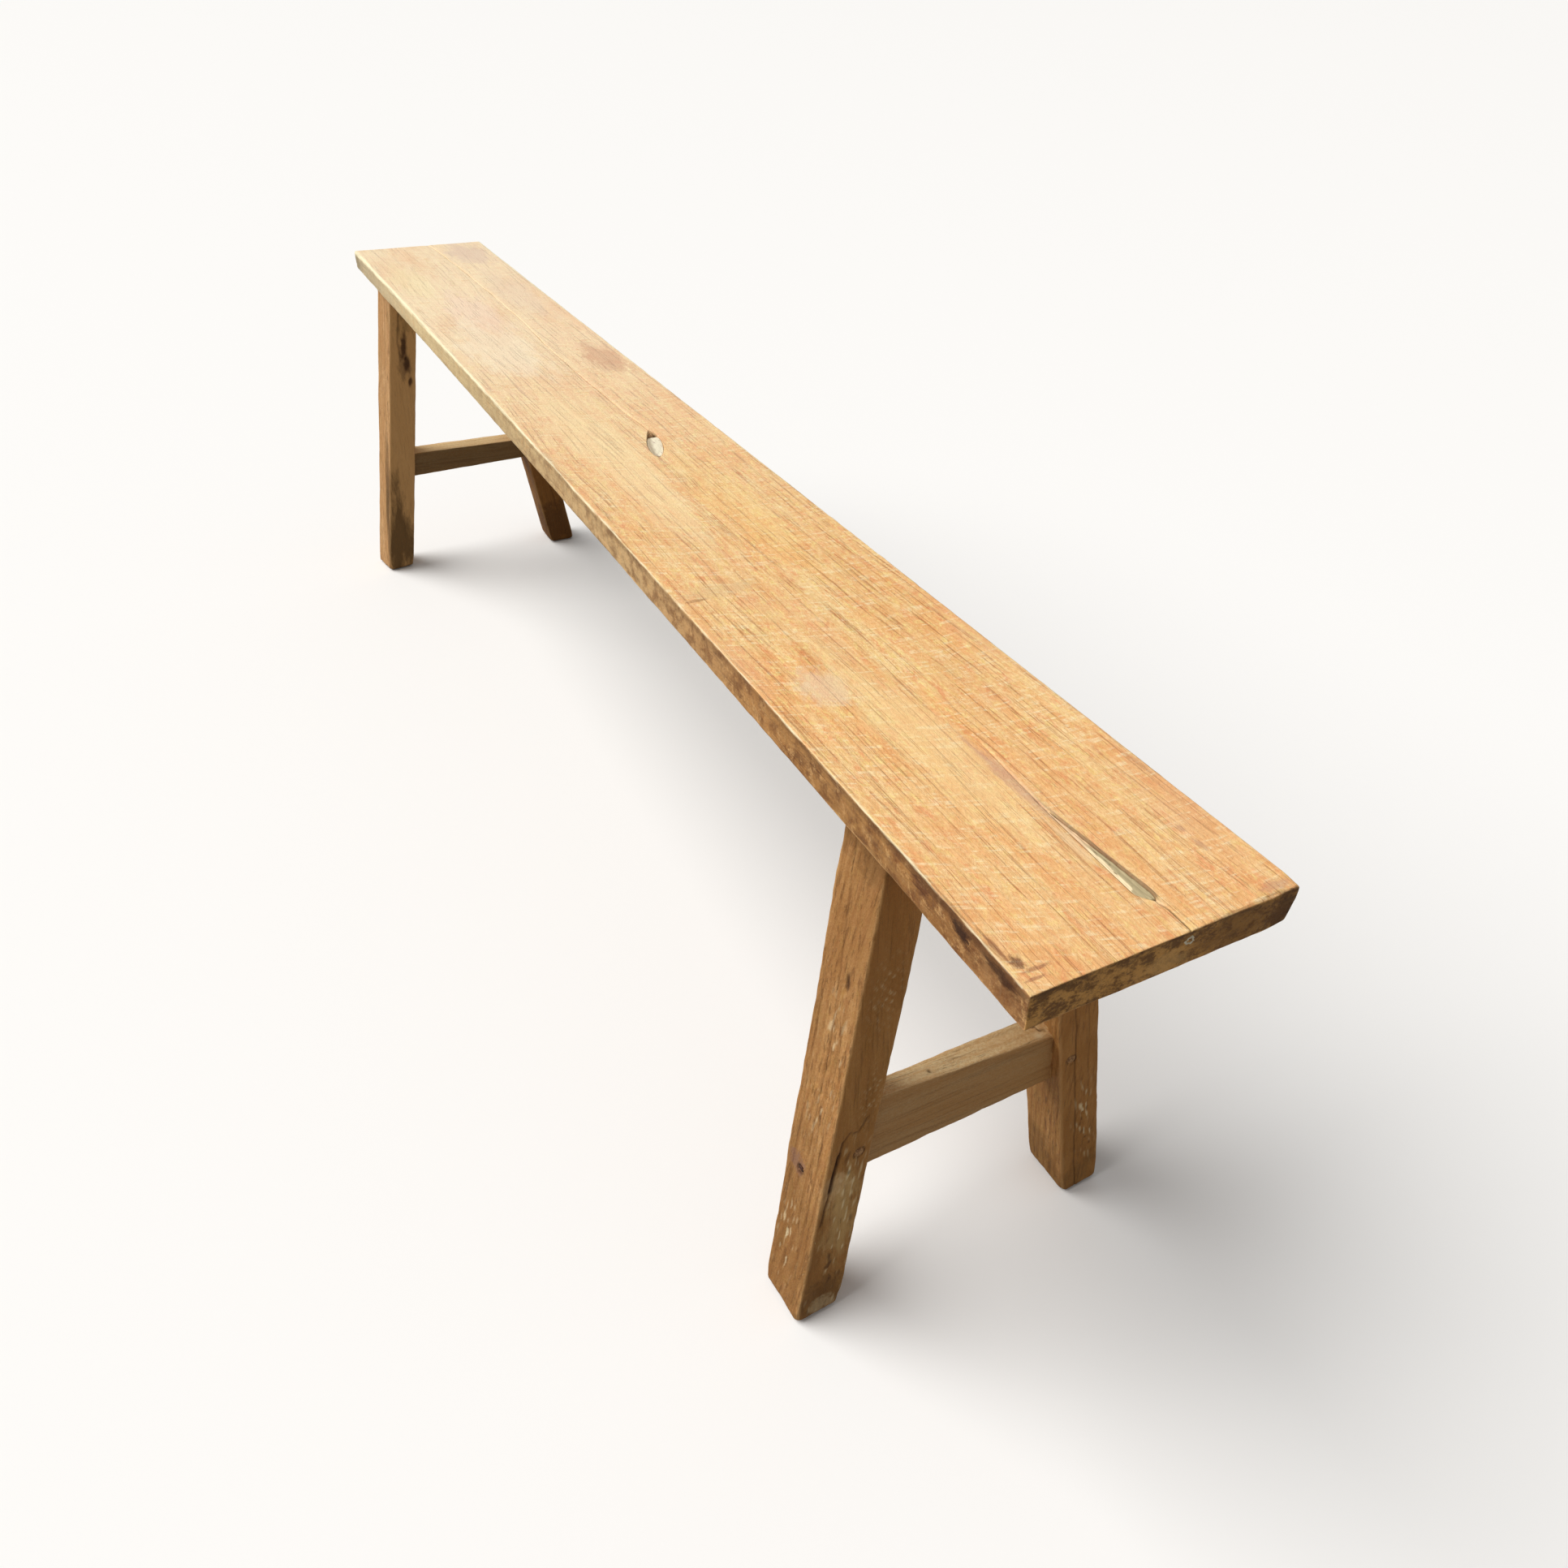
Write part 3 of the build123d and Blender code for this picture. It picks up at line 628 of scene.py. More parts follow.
# spots in metres: centre, half size, colour and strength; stains, with a few of painted shade marked where
# they stand
SEAT_SPOTS = [
    ((0.567, -0.050, 0.48), (0.034, 0.022, 0.02), colour(238, 210, 176), 0.6),
    ((0.398, -0.055, 0.48), (0.014, 0.038, 0.02), colour(222, 188, 140), 0.45),
    ((0.407, -0.080, 0.48), (0.003, 0.011, 0.02), colour(158, 112, 72), 0.55),
    ((-0.221, 0.072, 0.48), (0.075, 0.024, 0.02), colour(206, 150, 120), 0.55),
    ((-0.47, -0.02, 0.48), (0.13, 0.035, 0.02), colour(250, 220, 200), 0.45),
    ((-0.80, 0.06, 0.48), (0.09, 0.035, 0.02), colour(224, 198, 180), 0.6),
    ((-0.55, 0.06, 0.48), (0.16, 0.03, 0.02), colour(236, 208, 182), 0.45),
    ((-0.66, -0.06, 0.48), (0.12, 0.03, 0.02), colour(250, 234, 184), 0.4),
    ((-0.30, -0.035, 0.48), (0.15, 0.05, 0.02), colour(255, 242, 214), 0.5),
    ((0.10, -0.03, 0.48), (0.28, 0.035, 0.02), colour(255, 232, 182), 0.5),
    ((0.25, 0.03, 0.48), (0.20, 0.03, 0.02), colour(255, 216, 140), 0.25),
    ((0.66, -0.02, 0.48), (0.16, 0.03, 0.02), colour(255, 226, 164), 0.4),
    ((0.72, 0.005, 0.48), (0.06, 0.006, 0.01), colour(206, 164, 138), 0.6),
    ((0.790, 0.0005, 0.48), (0.03, 0.0035, 0.01), colour(240, 206, 160), 0.7),
    ((0.856, -0.090, 0.48), (0.007, 0.004, 0.02), colour(104, 62, 44), 0.75),
    ((0.864, -0.083, 0.48), (0.002, 0.010, 0.02), colour(150, 96, 70), 0.6),
    ((0.870, -0.088, 0.48), (0.0016, 0.008, 0.02), colour(160, 104, 78), 0.6),
    ((0.842, -0.094, 0.48), (0.018, 0.002, 0.02), colour(130, 80, 54), 0.7),
    # painted shade: a dark band under the front arris near the right end
    ((0.80, -0.099, 0.476), (0.09, 0.006, 0.005), colour(100, 60, 30), 0.6),
    ((0.815, -0.099, 0.470), (0.012, 0.006, 0.007), colour(48, 24, 18), 0.9),
    ((0.772, -0.099, 0.470), (0.012, 0.006, 0.006), colour(84, 44, 28), 0.7),
    ((0.855, -0.099, 0.472), (0.02, 0.006, 0.005), colour(58, 32, 20), 0.8),
    ((-0.87, -0.099, 0.467), (0.03, 0.006, 0.02), colour(150, 136, 104), 0.6),
    ((0.824, 0.071, 0.48), (0.008, 0.003, 0.02), colour(176, 126, 104), 0.5),
    ((0.806, 0.071, 0.48), (0.005, 0.0025, 0.02), colour(176, 128, 106), 0.5),
    ((0.872, 0.085, 0.48), (0.005, 0.014, 0.02), colour(190, 140, 116), 0.5),
    ((0.88, 0.090, 0.466), (0.006, 0.014, 0.016), colour(66, 40, 18), 0.8),
    ((0.88, 0.062, 0.466), (0.006, 0.05, 0.02), colour(112, 72, 28), 0.6),
    ((0.88, 0.000, 0.462), (0.006, 0.018, 0.008), colour(214, 168, 104), 0.6),
]
LEG_SPOTS = {
    "right_front": [((0.702, -0.140, 0.147), (0.014, 0.02, 0.012), PURPLE_GREY, 0.7),
                    ((0.745, -0.110, 0.12), (0.012, 0.024, 0.075), colour(216, 182, 124), 0.65),
                    ((0.742, -0.120, 0.150), (0.012, 0.016, 0.018), colour(240, 206, 156), 0.45),
                    ((0.714, -0.150, 0.07), (0.05, 0.04, 0.17), colour(122, 80, 36), 0.5),
                    # painted shade at the top of the front face, under the seat
                    ((0.70, -0.09, 0.45), (0.06, 0.05, 0.035), colour(120, 84, 44), 0.6),
                    ((0.75, -0.128, 0.02), (0.02, 0.03, 0.03), colour(104, 72, 36), 0.6),
                    ((0.748, -0.130, 0.012), (0.016, 0.014, 0.012), colour(206, 180, 140), 0.6)],
    "right_back": [((0.71, 0.12, 0.0), (0.06, 0.05, 0.06), colour(112, 78, 38), 0.5)],
    "left_front": [((-0.727, -0.078, 0.345), (0.006, 0.012, 0.035), DARK_KNOT, 0.45),
                   ((-0.727, -0.075, 0.42), (0.008, 0.018, 0.05), colour(110, 92, 46), 0.5),
                   ((-0.745, -0.13, 0.08), (0.012, 0.03, 0.16), colour(86, 62, 30), 0.8)],
    "left_back": [((-0.74, 0.14, 0.03), (0.06, 0.05, 0.05), colour(80, 48, 22), 0.6)],
}


# ---------------------------------------------------------------- seat plank
def seam_middle(x):
    """Line of the shake along the plank, with a small wander away from the pockets."""
    wander = 0.35 * np.sin(x / 23.0) + 0.25 * np.sin(x / 9.1 + 1.0)
    by_knot = smooth(30, 45, x) * (1 - smooth(100, 120, x))
    by_split = smooth(735, 750, x) * (1 - smooth(851, 862, x))
    return np.interp(x, SEAM_X, SEAM_Y) + wander * (1 - by_knot - by_split)


def knot_half(x):
    """Half width of the knot's pocket: an oval drawn out along the plank."""
    share = np.clip(1 - ((x - KNOT["middle"]) / KNOT["half"]) ** 2, 0, 1)
    return KNOT["half_width"] * np.sqrt(share) * (0.8 + 0.2 * smooth(45, 75, x))


def split_half(x):
    """Half width of the split's pocket: a sliver that widens, then closes at its heel."""
    opening = np.clip((x - SPLIT["tip"]) / (SPLIT["widest"] - SPLIT["tip"]), 0, 1)
    closing = np.clip((SPLIT["heel"] - x) / (SPLIT["heel"] - SPLIT["widest"]), 0, 1) ** 0.5
    return SPLIT["half_width"] * opening * closing


def pocket_depth(x):
    """Depth of the knot's and the split's pockets, with steep ends."""
    knot = KNOT["depth"] * smooth(0.5, 2.5, knot_half(x))
    split = SPLIT["depth"] * smooth(0.3, 1.6, split_half(x))
    return knot + split


def crack_depth(x):
    """Depth of the hairline shake: to the left of the knot, and to the right of x 664."""
    left = (1 - smooth(20, 40, x)) * (1.3 + 0.9 * np.sin(x / 47.0) * np.sin(x / 31.0 + 2.0))
    right = smooth(655, 720, x) * (0.9 + 2.6 * smooth(845, 860, x))
    return np.clip(left, 0.5, 3.0) * (1 - smooth(20, 40, x)) + right


def seat_lattice():
    """The plank's lattice: columns run from the front edge to the shake, across it, and on
    to the back edge, so that the shake, the knot and the split are cut along grid lines."""
    front = np.concatenate([[0, 0.006, 0.013, 0.022], np.linspace(0.035, 0.95, 22), [0.982, 0.993, 1.0]])
    band = np.array([-0.94, -0.88, -0.75, -0.5, -0.25, 0.0, 0.25, 0.5, 0.75, 0.88, 0.94])
    back = np.concatenate([[0, 0.009, 0.022], np.linspace(0.055, 0.95, 18), [0.965, 0.978, 0.989, 1.0]])
    heights = levels((SEAT_TOP - SEAT_UNDERSIDE) / 2, 5, 3.2)
    even = np.linspace(-SEAT_HALF_LENGTH + 5, SEAT_HALF_LENGTH - 5, SEAT_STATIONS)
    ends = np.array([0.0, 0.5, 1.2, 2.2, 3.4])
    stations = np.concatenate([-SEAT_HALF_LENGTH + ends, even, SEAT_HALF_LENGTH - ends[::-1]])
    columns = len(front) + len(band) + len(back)
    index, quads = lattice_shell((columns, len(heights), len(stations)))
    column, x = index[:, 0], stations[index[:, 2]]
    bow = FRONT_BOW * (1 - (x / SEAT_HALF_LENGTH) ** 2)
    seam = (seam_middle(x) - bow / 2) / (1 - bow / (2 * SEAT_HALF_WIDTH))
    half_band = np.maximum(0.85, np.maximum(knot_half(x), split_half(x)) + 0.5)
    to_seam = np.concatenate([front, np.ones(columns - len(front))])[column]
    across = np.concatenate([-np.ones(len(front)), band, np.ones(len(back))])[column]
    to_back = np.concatenate([np.zeros(len(front) + len(band)), back])[column]
    band_y = seam + across * half_band
    y = -SEAT_HALF_WIDTH * (1 - to_seam) + band_y * to_seam * (1 - to_back) + SEAT_HALF_WIDTH * to_back
    return SimpleNamespace(
        quads=quads, box=np.stack([y, heights[index[:, 1]], x], 1), x=x, bow=bow,
        half=np.array([SEAT_HALF_WIDTH, heights[-1], SEAT_HALF_LENGTH]), half_band=half_band,
        to_seam=to_seam, across=across, to_back=to_back, past_band=y - seam - half_band,
        top_row=index[:, 1] == len(heights) - 1)


def seat_cut(plank):
    """Depth of the shake's groove and of the knot's and split's steep pockets, from how far
    across the band each point lies: 0 in its middle, 1 at its edge, 2 or more outside."""
    in_band = np.abs(plank.across) * np.where(plank.to_seam < 1, 2, 1) + 2 * (plank.to_back > 0)
    groove = np.clip(1 - in_band, 0, 1) * crack_depth(plank.x)
    pocket = np.clip((1 - in_band) / 0.09, 0, 1) * pocket_depth(plank.x)
    return np.maximum(np.where(pocket_depth(plank.x) > 0.5, 0, groove), pocket) * plank.top_row


def seat_relief(box, out, arris):
    """Unevenness of the plank's faces, and nicks in its arrises."""
    is_top, is_side, is_end = facing(out[:, 1]), facing(np.abs(out[:, 0])), facing(np.abs(out[:, 2]))
    relief = -0.25 * is_top * (1 + ripple(box, (60, 60, 200), 5)).clip(0) / 2
    waves = 0.5 * ripple(box, (30, 14, 120), 6) + 0.25 * ripple(box, (8, 6, 24), 7)
    relief -= is_side * (0.5 + waves).clip(0)
    relief -= is_end * (0.45 + 0.4 * ripple(box, (26, 12, 30), 8)).clip(0.1)
    return relief - 1.2 * arris * smooth(1.15, 1.9, ripple(box, (9, 9, 13), 9))


def seat_place(points, bow):
    """The plank's points on the bench: its front edge bows in and its back side is bevelled."""
    height = points[:, 1] + (SEAT_TOP + SEAT_UNDERSIDE) / 2
    level_y = points[:, 0]
    below_edge = np.clip((BACK_BEVEL_TOP - height) / (BACK_BEVEL_TOP - SEAT_UNDERSIDE), 0, 1)
    bevel = BACK_BEVEL_IN * below_edge * np.clip(level_y / SEAT_HALF_WIDTH, 0, 1) ** 6
    bowed = bow * (0.5 - level_y / (2 * SEAT_HALF_WIDTH))
    return np.stack([points[:, 2], level_y + bowed - bevel, height], 1)


def build_seat(material):
    """The plank: soft arrises at the far left end, crisper at the right, wavering
    everywhere, and a rounder back right corner."""
    plank = seat_lattice()
    box, x = plank.box, plank.x
    top = box[:, 1] > 0
    soft = smooth(300, -700, x)
    radius = np.where(top, 1.3 + 2.2 * soft, 1.8 + 2.0 * soft)
    radius = radius + 0.5 * ripple(box, (40, 40, 55), 3) + 0.3 * ripple(box, (12, 12, 14), 4)
    radius = np.clip(radius, 0.6, 5.5)
    radius = radius + 2.5 * smooth(864, 880, x) * smooth(80, 99, box[:, 0])
    arris = arris_share(box, plank.half, 3.5 + 2.5 * soft)
    points, out = rounded(box, plank.half, radius)
    is_top, is_end = facing(out[:, 1]), facing(np.abs(out[:, 2]))
    points = points + out * seat_relief(box, out, arris)[:, None]
    cut = seat_cut(plank)
    points[:, 1] -= cut
    # beside the shake: painted highlights along its lips, a pale patch for a lump at the split's heel, and
    # a sunk strip on its front side
    past_band, left = plank.past_band, smooth(40, 0, x)
    lump = is_top * spot_share(past_band, x, (-0.6, 853.0), (1.6, 3.5))
    lip = 0.45 * np.exp(-(((past_band - 1.2) / 1.6) ** 2)) * left * is_top
    right = smooth(655, 700, x) * (1 - smooth(840, 850, x))
    lip += 0.35 * np.exp(-(((past_band - 0.6) / 1.0) ** 2)) * right * is_top + 1.2 * lump
    points[:, 1] -= 0.4 * is_top * np.exp(-(((past_band + 2 * plank.half_band + 1.5) / 4.0) ** 2)) * left
    # painted shade: dark lines in the cuts, under the front arris, under the end arris and along the split
    under_arris = (out[:, 0] < -0.5) * np.exp(-(((box[:, 1] - 10.6) / 1.0) ** 2)) * smooth(-200, 500, x)
    under_end = (out[:, 2] > 0.5) * np.exp(-(((box[:, 1] - 11.6) / 1.3) ** 2))
    under_end = under_end * (0.6 + 0.4 * ripple(box, (30, 9, 9), 10))
    along_split = is_top * smooth(720, 790, x) * (1 - smooth(849, 853, x))
    along_split = along_split * (plank.to_back < 0.015) * (plank.across == 1)
    in_cut = smooth(0.3, 1.6, cut) * (0.45 + 0.55 * smooth(30, 42, x)) * (1 - 0.8 * lump)
    hollow = in_cut + 0.75 * along_split + 0.5 * under_arris + 0.8 * under_end
    near_end = smooth(SEAT_HALF_LENGTH - 9, SEAT_HALF_LENGTH - 4, x)
    # wear along the arrises, with a painted highlight that is stronger on the top arrises
    wear_and_highlight = arris * np.where(top, 1, 0.6) * (1 - 0.8 * near_end) * (1 - 0.35 * smooth(-500, 500, x))
    # the front and back faces take the side colour, partly their own and partly painted light along the
    # plank, and the underside a third of it
    side = facing(np.abs(out[:, 0])) + 0.35 * facing(-out[:, 1])
    marks = {"arris": wear_and_highlight, "hollow": hollow * 0.92, "lip": lip, "side": side, "end": is_end}
    make_piece("seat_board", seat_place(points, plank.bow), plank.quads.tolist(), marks, material,
               "seat_plank")


# ---------------------------------------------------------------- legs
def leg_middle(corner, height):
    """Centre line of a leg: straight, leaning outwards along and across the bench."""
    leg = LEGS[corner]
    drop = SEAT_UNDERSIDE - height
    x = leg["x"] + leg["end"] * SPLAY_ENDWAYS * drop
    return x, leg["side"] * (LEG_OFF_CENTRE + leg["splay"] * drop)


# On the front face or the face towards the right end, in (place across it, height):
# grooves are a broken line with its width and depth, knots a spot with its half size and
# depth, rough patches a spot, and arcs of the saw a spot with their pitch.
LEG_MARKS = {
    "right_front": {
        "grooves": [("front", [(-11, 450), (-6, 380), (-1, 335), (2, 250), (1, 170)], 0.7, 0.6),
                    ("front", [(-18, 330), (-16, 200), (-17, 90)], 0.6, 0.4),
                    ("front", [(12, 300), (14, 160), (11, 40)], 0.6, 0.35),
                    ("end", [(-9, 196), (-12, 170), (-13, 145), (-15, 112)], 1.0, 1.4),
                    ("end", [(-11, 184), (-12.5, 165), (-13.5, 148)], 1.8, 1.6),
                    ("end", [(-9, 196), (-4, 203), (4, 200), (10, 212)], 0.9, 0.9)],
        "knots": [("front", (8, 336), (3.2, 9), 0.9)],
        "rough": [("end", (4, 168), (13, 30)), ("end", (3, 110), (13, 40)), ("end", (4, 60), (14, 40)),
                  ("end", (-2, 16), (14, 14)), ("front", (4, 250), (14, 60)),
                  ("front", (-8, 70), (12, 40))],
        "arcs": [("end", (9, 232), (9, 24), 5.0), ("end", (2, 330), (12, 30), 7.0)]},
    "right_back": {
        "grooves": [("end", [(-3, 452), (-3.5, 234), (-6, 29), (-6, 0)], 0.7, 0.9),
                    ("end", [(9, 300), (10, 120)], 0.6, 0.35)],
        "knots": [],
        "rough": [("end", (5, 112), (4, 16)), ("end", (8, 68), (4, 20)), ("end", (4, 100), (10, 50))],
        "arcs": []},
    "left_front": {
        "grooves": [("end", [(-6, 440), (-9, 380), (-4, 350)], 1.4, 0.7),
                    ("front", [(6, 440), (4, 300), (8, 150)], 0.8, 0.5)],
        "knots": [("end", (1, 372), (6, 26), 0.9), ("end", (6, 344), (6, 16), 0.9),
                  ("end", (12, 316), (4.5, 9), 1.0)],
        "rough": [],
        "arcs": []},
    "left_back": {
        "grooves": [("end", [(4, 420), (2, 220), (5, 60)], 0.9, 0.6)],
        "knots": [],
        "rough": [],
        "arcs": []},
}


def leg_face(face, box, out):
    """Share of each point that lies on a leg's front face or on its face towards the right
    end, with its place across that face."""
    if face == "front":
        return facing(-out[:, 1], 0.6, 0.95), box[:, 0]
    return facing(out[:, 0], 0.6, 0.95), box[:, 1]


def press_leg_marks(corner, box, out, height, seed):
    """Relief, painted shade in the hollows and painted highlights and pale flecks on the lips
    of a leg's grooves, knots, rough patches and arcs; at the knots the dark is also their own colour.
    """
    relief, hollow, lip = np.zeros((3, len(box)))
    marks = LEG_MARKS[corner]
    for face, line, width, depth in marks["grooves"]:
        share, across = leg_face(face, box, out)
        wander = across + 0.6 * np.sin(height / 17.0 + seed) + 0.25 * np.sin(height / 5.0)
        press = share * line_share(wander, height, line, width)
        relief -= depth * press
        hollow += min(0.9, 0.2 + 0.42 * depth) * press
    for face, centre, size, depth in marks["knots"]:
        share, across = leg_face(face, box, out)
        press = share * spot_share(across, height, centre, size)
        relief -= depth * press
        hollow += 0.9 * smooth(0.25, 0.9, press + 0.15 * ripple(box, (5, 5, 9), seed + 5))
    for face, centre, size in marks["rough"]:
        share, across = leg_face(face, box, out)
        press = share * spot_share(across, height, centre, size)
        relief -= 1.1 * press * smooth(0.1, 1.1, ripple(box, (6, 6, 12), seed + 6))
        lip += 0.85 * press * smooth(0.5, 1.1, ripple(box, (3.6, 3.6, 16), seed + 7))
        hollow += 0.6 * press * smooth(0.6, 1.2, ripple(box, (6, 6, 10), seed + 8))
    for face, centre, size, pitch in marks["arcs"]:
        share, across = leg_face(face, box, out)
        press = share * spot_share(across, height, centre, size)
        bend = 0.02 * (across - LEGS[corner]["size"][1] / 2) ** 2 - 0.3 * across
        arc = np.sin(2 * np.pi * (height - bend) / pitch)
        relief -= 0.5 * press * (1 + arc)
        lip += 0.65 * press * smooth(0.2, 0.9, -arc) * smooth(-0.2, 0.8, ripple(box, (5, 5, 9), seed + 9))
    return relief, hollow, lip


def press_leg_holes(corner, points, out, height):
    """Relief of the shallow dishes round the peg's end and, on the right front leg, round
    the nail's head, with painted shade at their rims."""
    leg = LEGS[corner]
    peg_y = leg["side"] * (PEG_SETBACK - leg["size"][1] / 2)
    from_peg = np.hypot(points[:, 1] - peg_y, height - STRETCHERS[corner.split("_")[0]]["level"])
    face = facing(leg["end"] * out[:, 0], 0.6, 0.95)
    relief = -1.0 * face * (1 - smooth(PEG_RADIUS, PEG_RADIUS + 0.9, from_peg))
    hollow = 0.95 * face * np.exp(-(((from_peg - PEG_RADIUS - 0.2) / 0.6) ** 2))
    if corner == "right_front":
        from_nail = np.hypot(points[:, 0] - NAIL_ALONG, height - NAIL_HEIGHT)
        face = facing(-out[:, 1], 0.6, 0.95)
        relief -= 1.6 * face * (1 - smooth(3.3, 4.6, from_nail))
        hollow += 0.9 * face * np.exp(-(((from_nail - 3.6) / 1.0) ** 2))
    return relief, hollow


def turned_about(middle_x, middle_y, along, across, degrees):
    """Places (along, across) from a leg's middle, turned by the leg's turn."""
    turn = math.radians(degrees)
    return (middle_x + along * math.cos(turn) - across * math.sin(turn),
            middle_y + along * math.sin(turn) + across * math.cos(turn))


def build_leg(corner, material, seed):
    """A leg: a box lattice whose stations lean with the leg, with worn arrises, a rounded
    foot, and grooves, knots and rough patches pressed into its faces."""
    leg = LEGS[corner]
    half = np.array([leg["size"][0] / 2, leg["size"][1] / 2, SEAT_UNDERSIDE / 2])
    stations = np.concatenate([[0, 0.4, 1.0, 1.8, 2.8, 4.0], np.linspace(6, SEAT_UNDERSIDE, LEG_STATIONS)])
    rows = levels(half[0], 40, 4.0)
    columns = levels(half[1], 32, 4.0)
    index, quads = lattice_shell((len(rows), len(columns), len(stations)))
    height = stations[index[:, 2]]
    box = np.stack([rows[index[:, 0]], columns[index[:, 1]], height - half[2]], 1)
    radius = 2.6 + 0.9 * ripple(box, (30, 30, 60), seed) + 0.5 * ripple(box, (12, 12, 18), seed + 1)
    radius = np.clip(radius + 4.0 * (1 - smooth(0, 24, height)), 0.8, 8.5)
    points, out = rounded(box, half, np.where(height > SEAT_UNDERSIDE - 8, 0.6, radius))
    arris = arris_share(box, half, 4.5) * smooth(SEAT_UNDERSIDE, SEAT_UNDERSIDE - 30, height)
    relief, hollow, lip = press_leg_marks(corner, box, out, height, seed)
    dish, rim = press_leg_holes(corner, points, out, height)
    relief -= (0.35 + 0.35 * ripple(box, (40, 40, 170), seed + 2)).clip(0)
    relief -= 0.12 * (1 + ripple(box, (6, 6, 60), seed + 3)).clip(0.05)
    relief -= 1.3 * arris * smooth(1.0, 1.8, ripple(box, (10, 10, 22), seed + 4))
    points = points + out * (relief + dish)[:, None]
    level = points[:, 2] + half[2]
    x, y = turned_about(*leg_middle(corner, level), points[:, 0], points[:, 1], leg["turn"])
    # painted shade: the faces towards the ends take the darker side tint
    marks = {"arris": arris, "hollow": hollow + rim, "lip": lip, "side": facing(np.abs(out[:, 0])),
             "end": facing(np.abs(out[:, 2]))}
    make_piece("splayed_leg_" + corner, np.stack([x, y, level], 1), quads.tolist(), marks, material,
               "leg_" + corner)


# ---------------------------------------------------------------- stretchers
def inner_face_y(corner, x, height):
    """Where a leg's inner face stands at a place along the bench and a height."""
    leg = LEGS[corner]
    middle_x, middle_y = leg_middle(corner, height)
    turn = math.radians(leg["turn"])
    face = middle_y - leg["side"] * leg["size"][1] / 2 / math.cos(turn)
    return face + (x - middle_x) * math.tan(turn)


def build_stretcher(end_name, material, seed):
    """A stretcher: a box lattice with its rows and columns led between the four arrises at
    its two ends, so that it twists and tapers, with its shoulders on the legs' inner faces."""
    rail = STRETCHERS[end_name]
    end = LEGS[end_name + "_front"]["end"]
    half = np.array([rail["front"][2], rail["thickness"] / 2, 110.0])
    rows = levels(half[0], int(half[0]), 3.0)
    columns = levels(half[1], int(half[1] * 1.1), 3.0)
    stations = np.linspace(-half[2], half[2], 150)
    index, quads = lattice_shell((len(rows), len(columns), len(stations)))
    box = np.stack([rows[index[:, 0]], columns[index[:, 1]], stations[index[:, 2]]], 1)
    radius = 1.9 + 0.6 * ripple(box, (25, 25, 40), seed) + 0.4 * ripple(box, (9, 9, 14), seed + 1)
    if end_name == "right":
        radius = radius + 1.6 * smooth(0.3, 1.0, box[:, 2] / half[2]) * (box[:, 0] > 0)
    radius = np.clip(radius, 0.8, 5.0)
    away = half + np.array([0, 0, 20.0])
    points, out = rounded(box, away, radius)
    arris = arris_share(box, away, 3.5)
    relief = -(0.25 + 0.25 * ripple(box, (30, 30, 70), seed + 2)).clip(0)
    relief -= 0.10 * (1 + ripple(box, (5, 5, 40), seed + 3)).clip(0.05)
    relief -= 0.9 * arris * smooth(1.1, 1.8, ripple(box, (9, 9, 18), seed + 4))
    hollow, lip = np.zeros((2, len(box)))
    is_top = facing(out[:, 0], 0.6, 0.95)
    if end_name == "right":
        # a small nail hole near the front leg and a nick at the back leg, darkened with painted shade, and
        # a chip of pale wood at the back leg
        hole = is_top * spot_share(points[:, 1], points[:, 2], (2.0, -38.0), (1.6, 1.9))
        nick = is_top * line_share(points[:, 1], points[:, 2], [(-3, 90), (-1, 97), (3, 99), (4, 106)], 0.8)
        chip = is_top * spot_share(points[:, 1], points[:, 2], (6, 96), (2.5, 5))
        relief -= 1.2 * hole + 0.8 * nick
        hollow += hole + 0.8 * nick
        lip += chip
    points = points + out * relief[:, None]
    back_share = (points[:, 2] / half[2] + 1) / 2
    outer_share = (end * points[:, 1] / half[1] + 1) / 2
    corners = [(1 - back_share) * front + back_share * back
               for front, back in zip(rail["front"], rail["back"])]
    foot = (1 - outer_share) * corners[0] + outer_share * corners[1]
    head = (1 - outer_share) * corners[2] + outer_share * corners[3]
    height = rail["level"] + foot + (points[:, 0] / half[0] + 1) / 2 * (head - foot)
    middle_front, _ = leg_middle(end_name + "_front", rail["level"])
    middle_back, _ = leg_middle(end_name + "_back", rail["level"])
    middle_x = middle_front + back_share * (middle_back - middle_front)
    x = middle_x + end * rail["outset"] + points[:, 1]
    near = inner_face_y(end_name + "_front", x, height) - SHOULDER_BITE
    far = inner_face_y(end_name + "_back", x, height) + SHOULDER_BITE
    placed = np.stack([x, near + back_share * (far - near), height], 1)
    # painted shade: the broad faces take the side tint, and the underside the dark end tint
    marks = {"arris": arris, "hollow": hollow, "lip": lip, "side": facing(np.abs(out[:, 1])),
             "end": facing(-out[:, 0])}
    make_piece("rail_" + end_name, placed, quads.tolist(), marks, material,
               "stretcher_" + end_name)


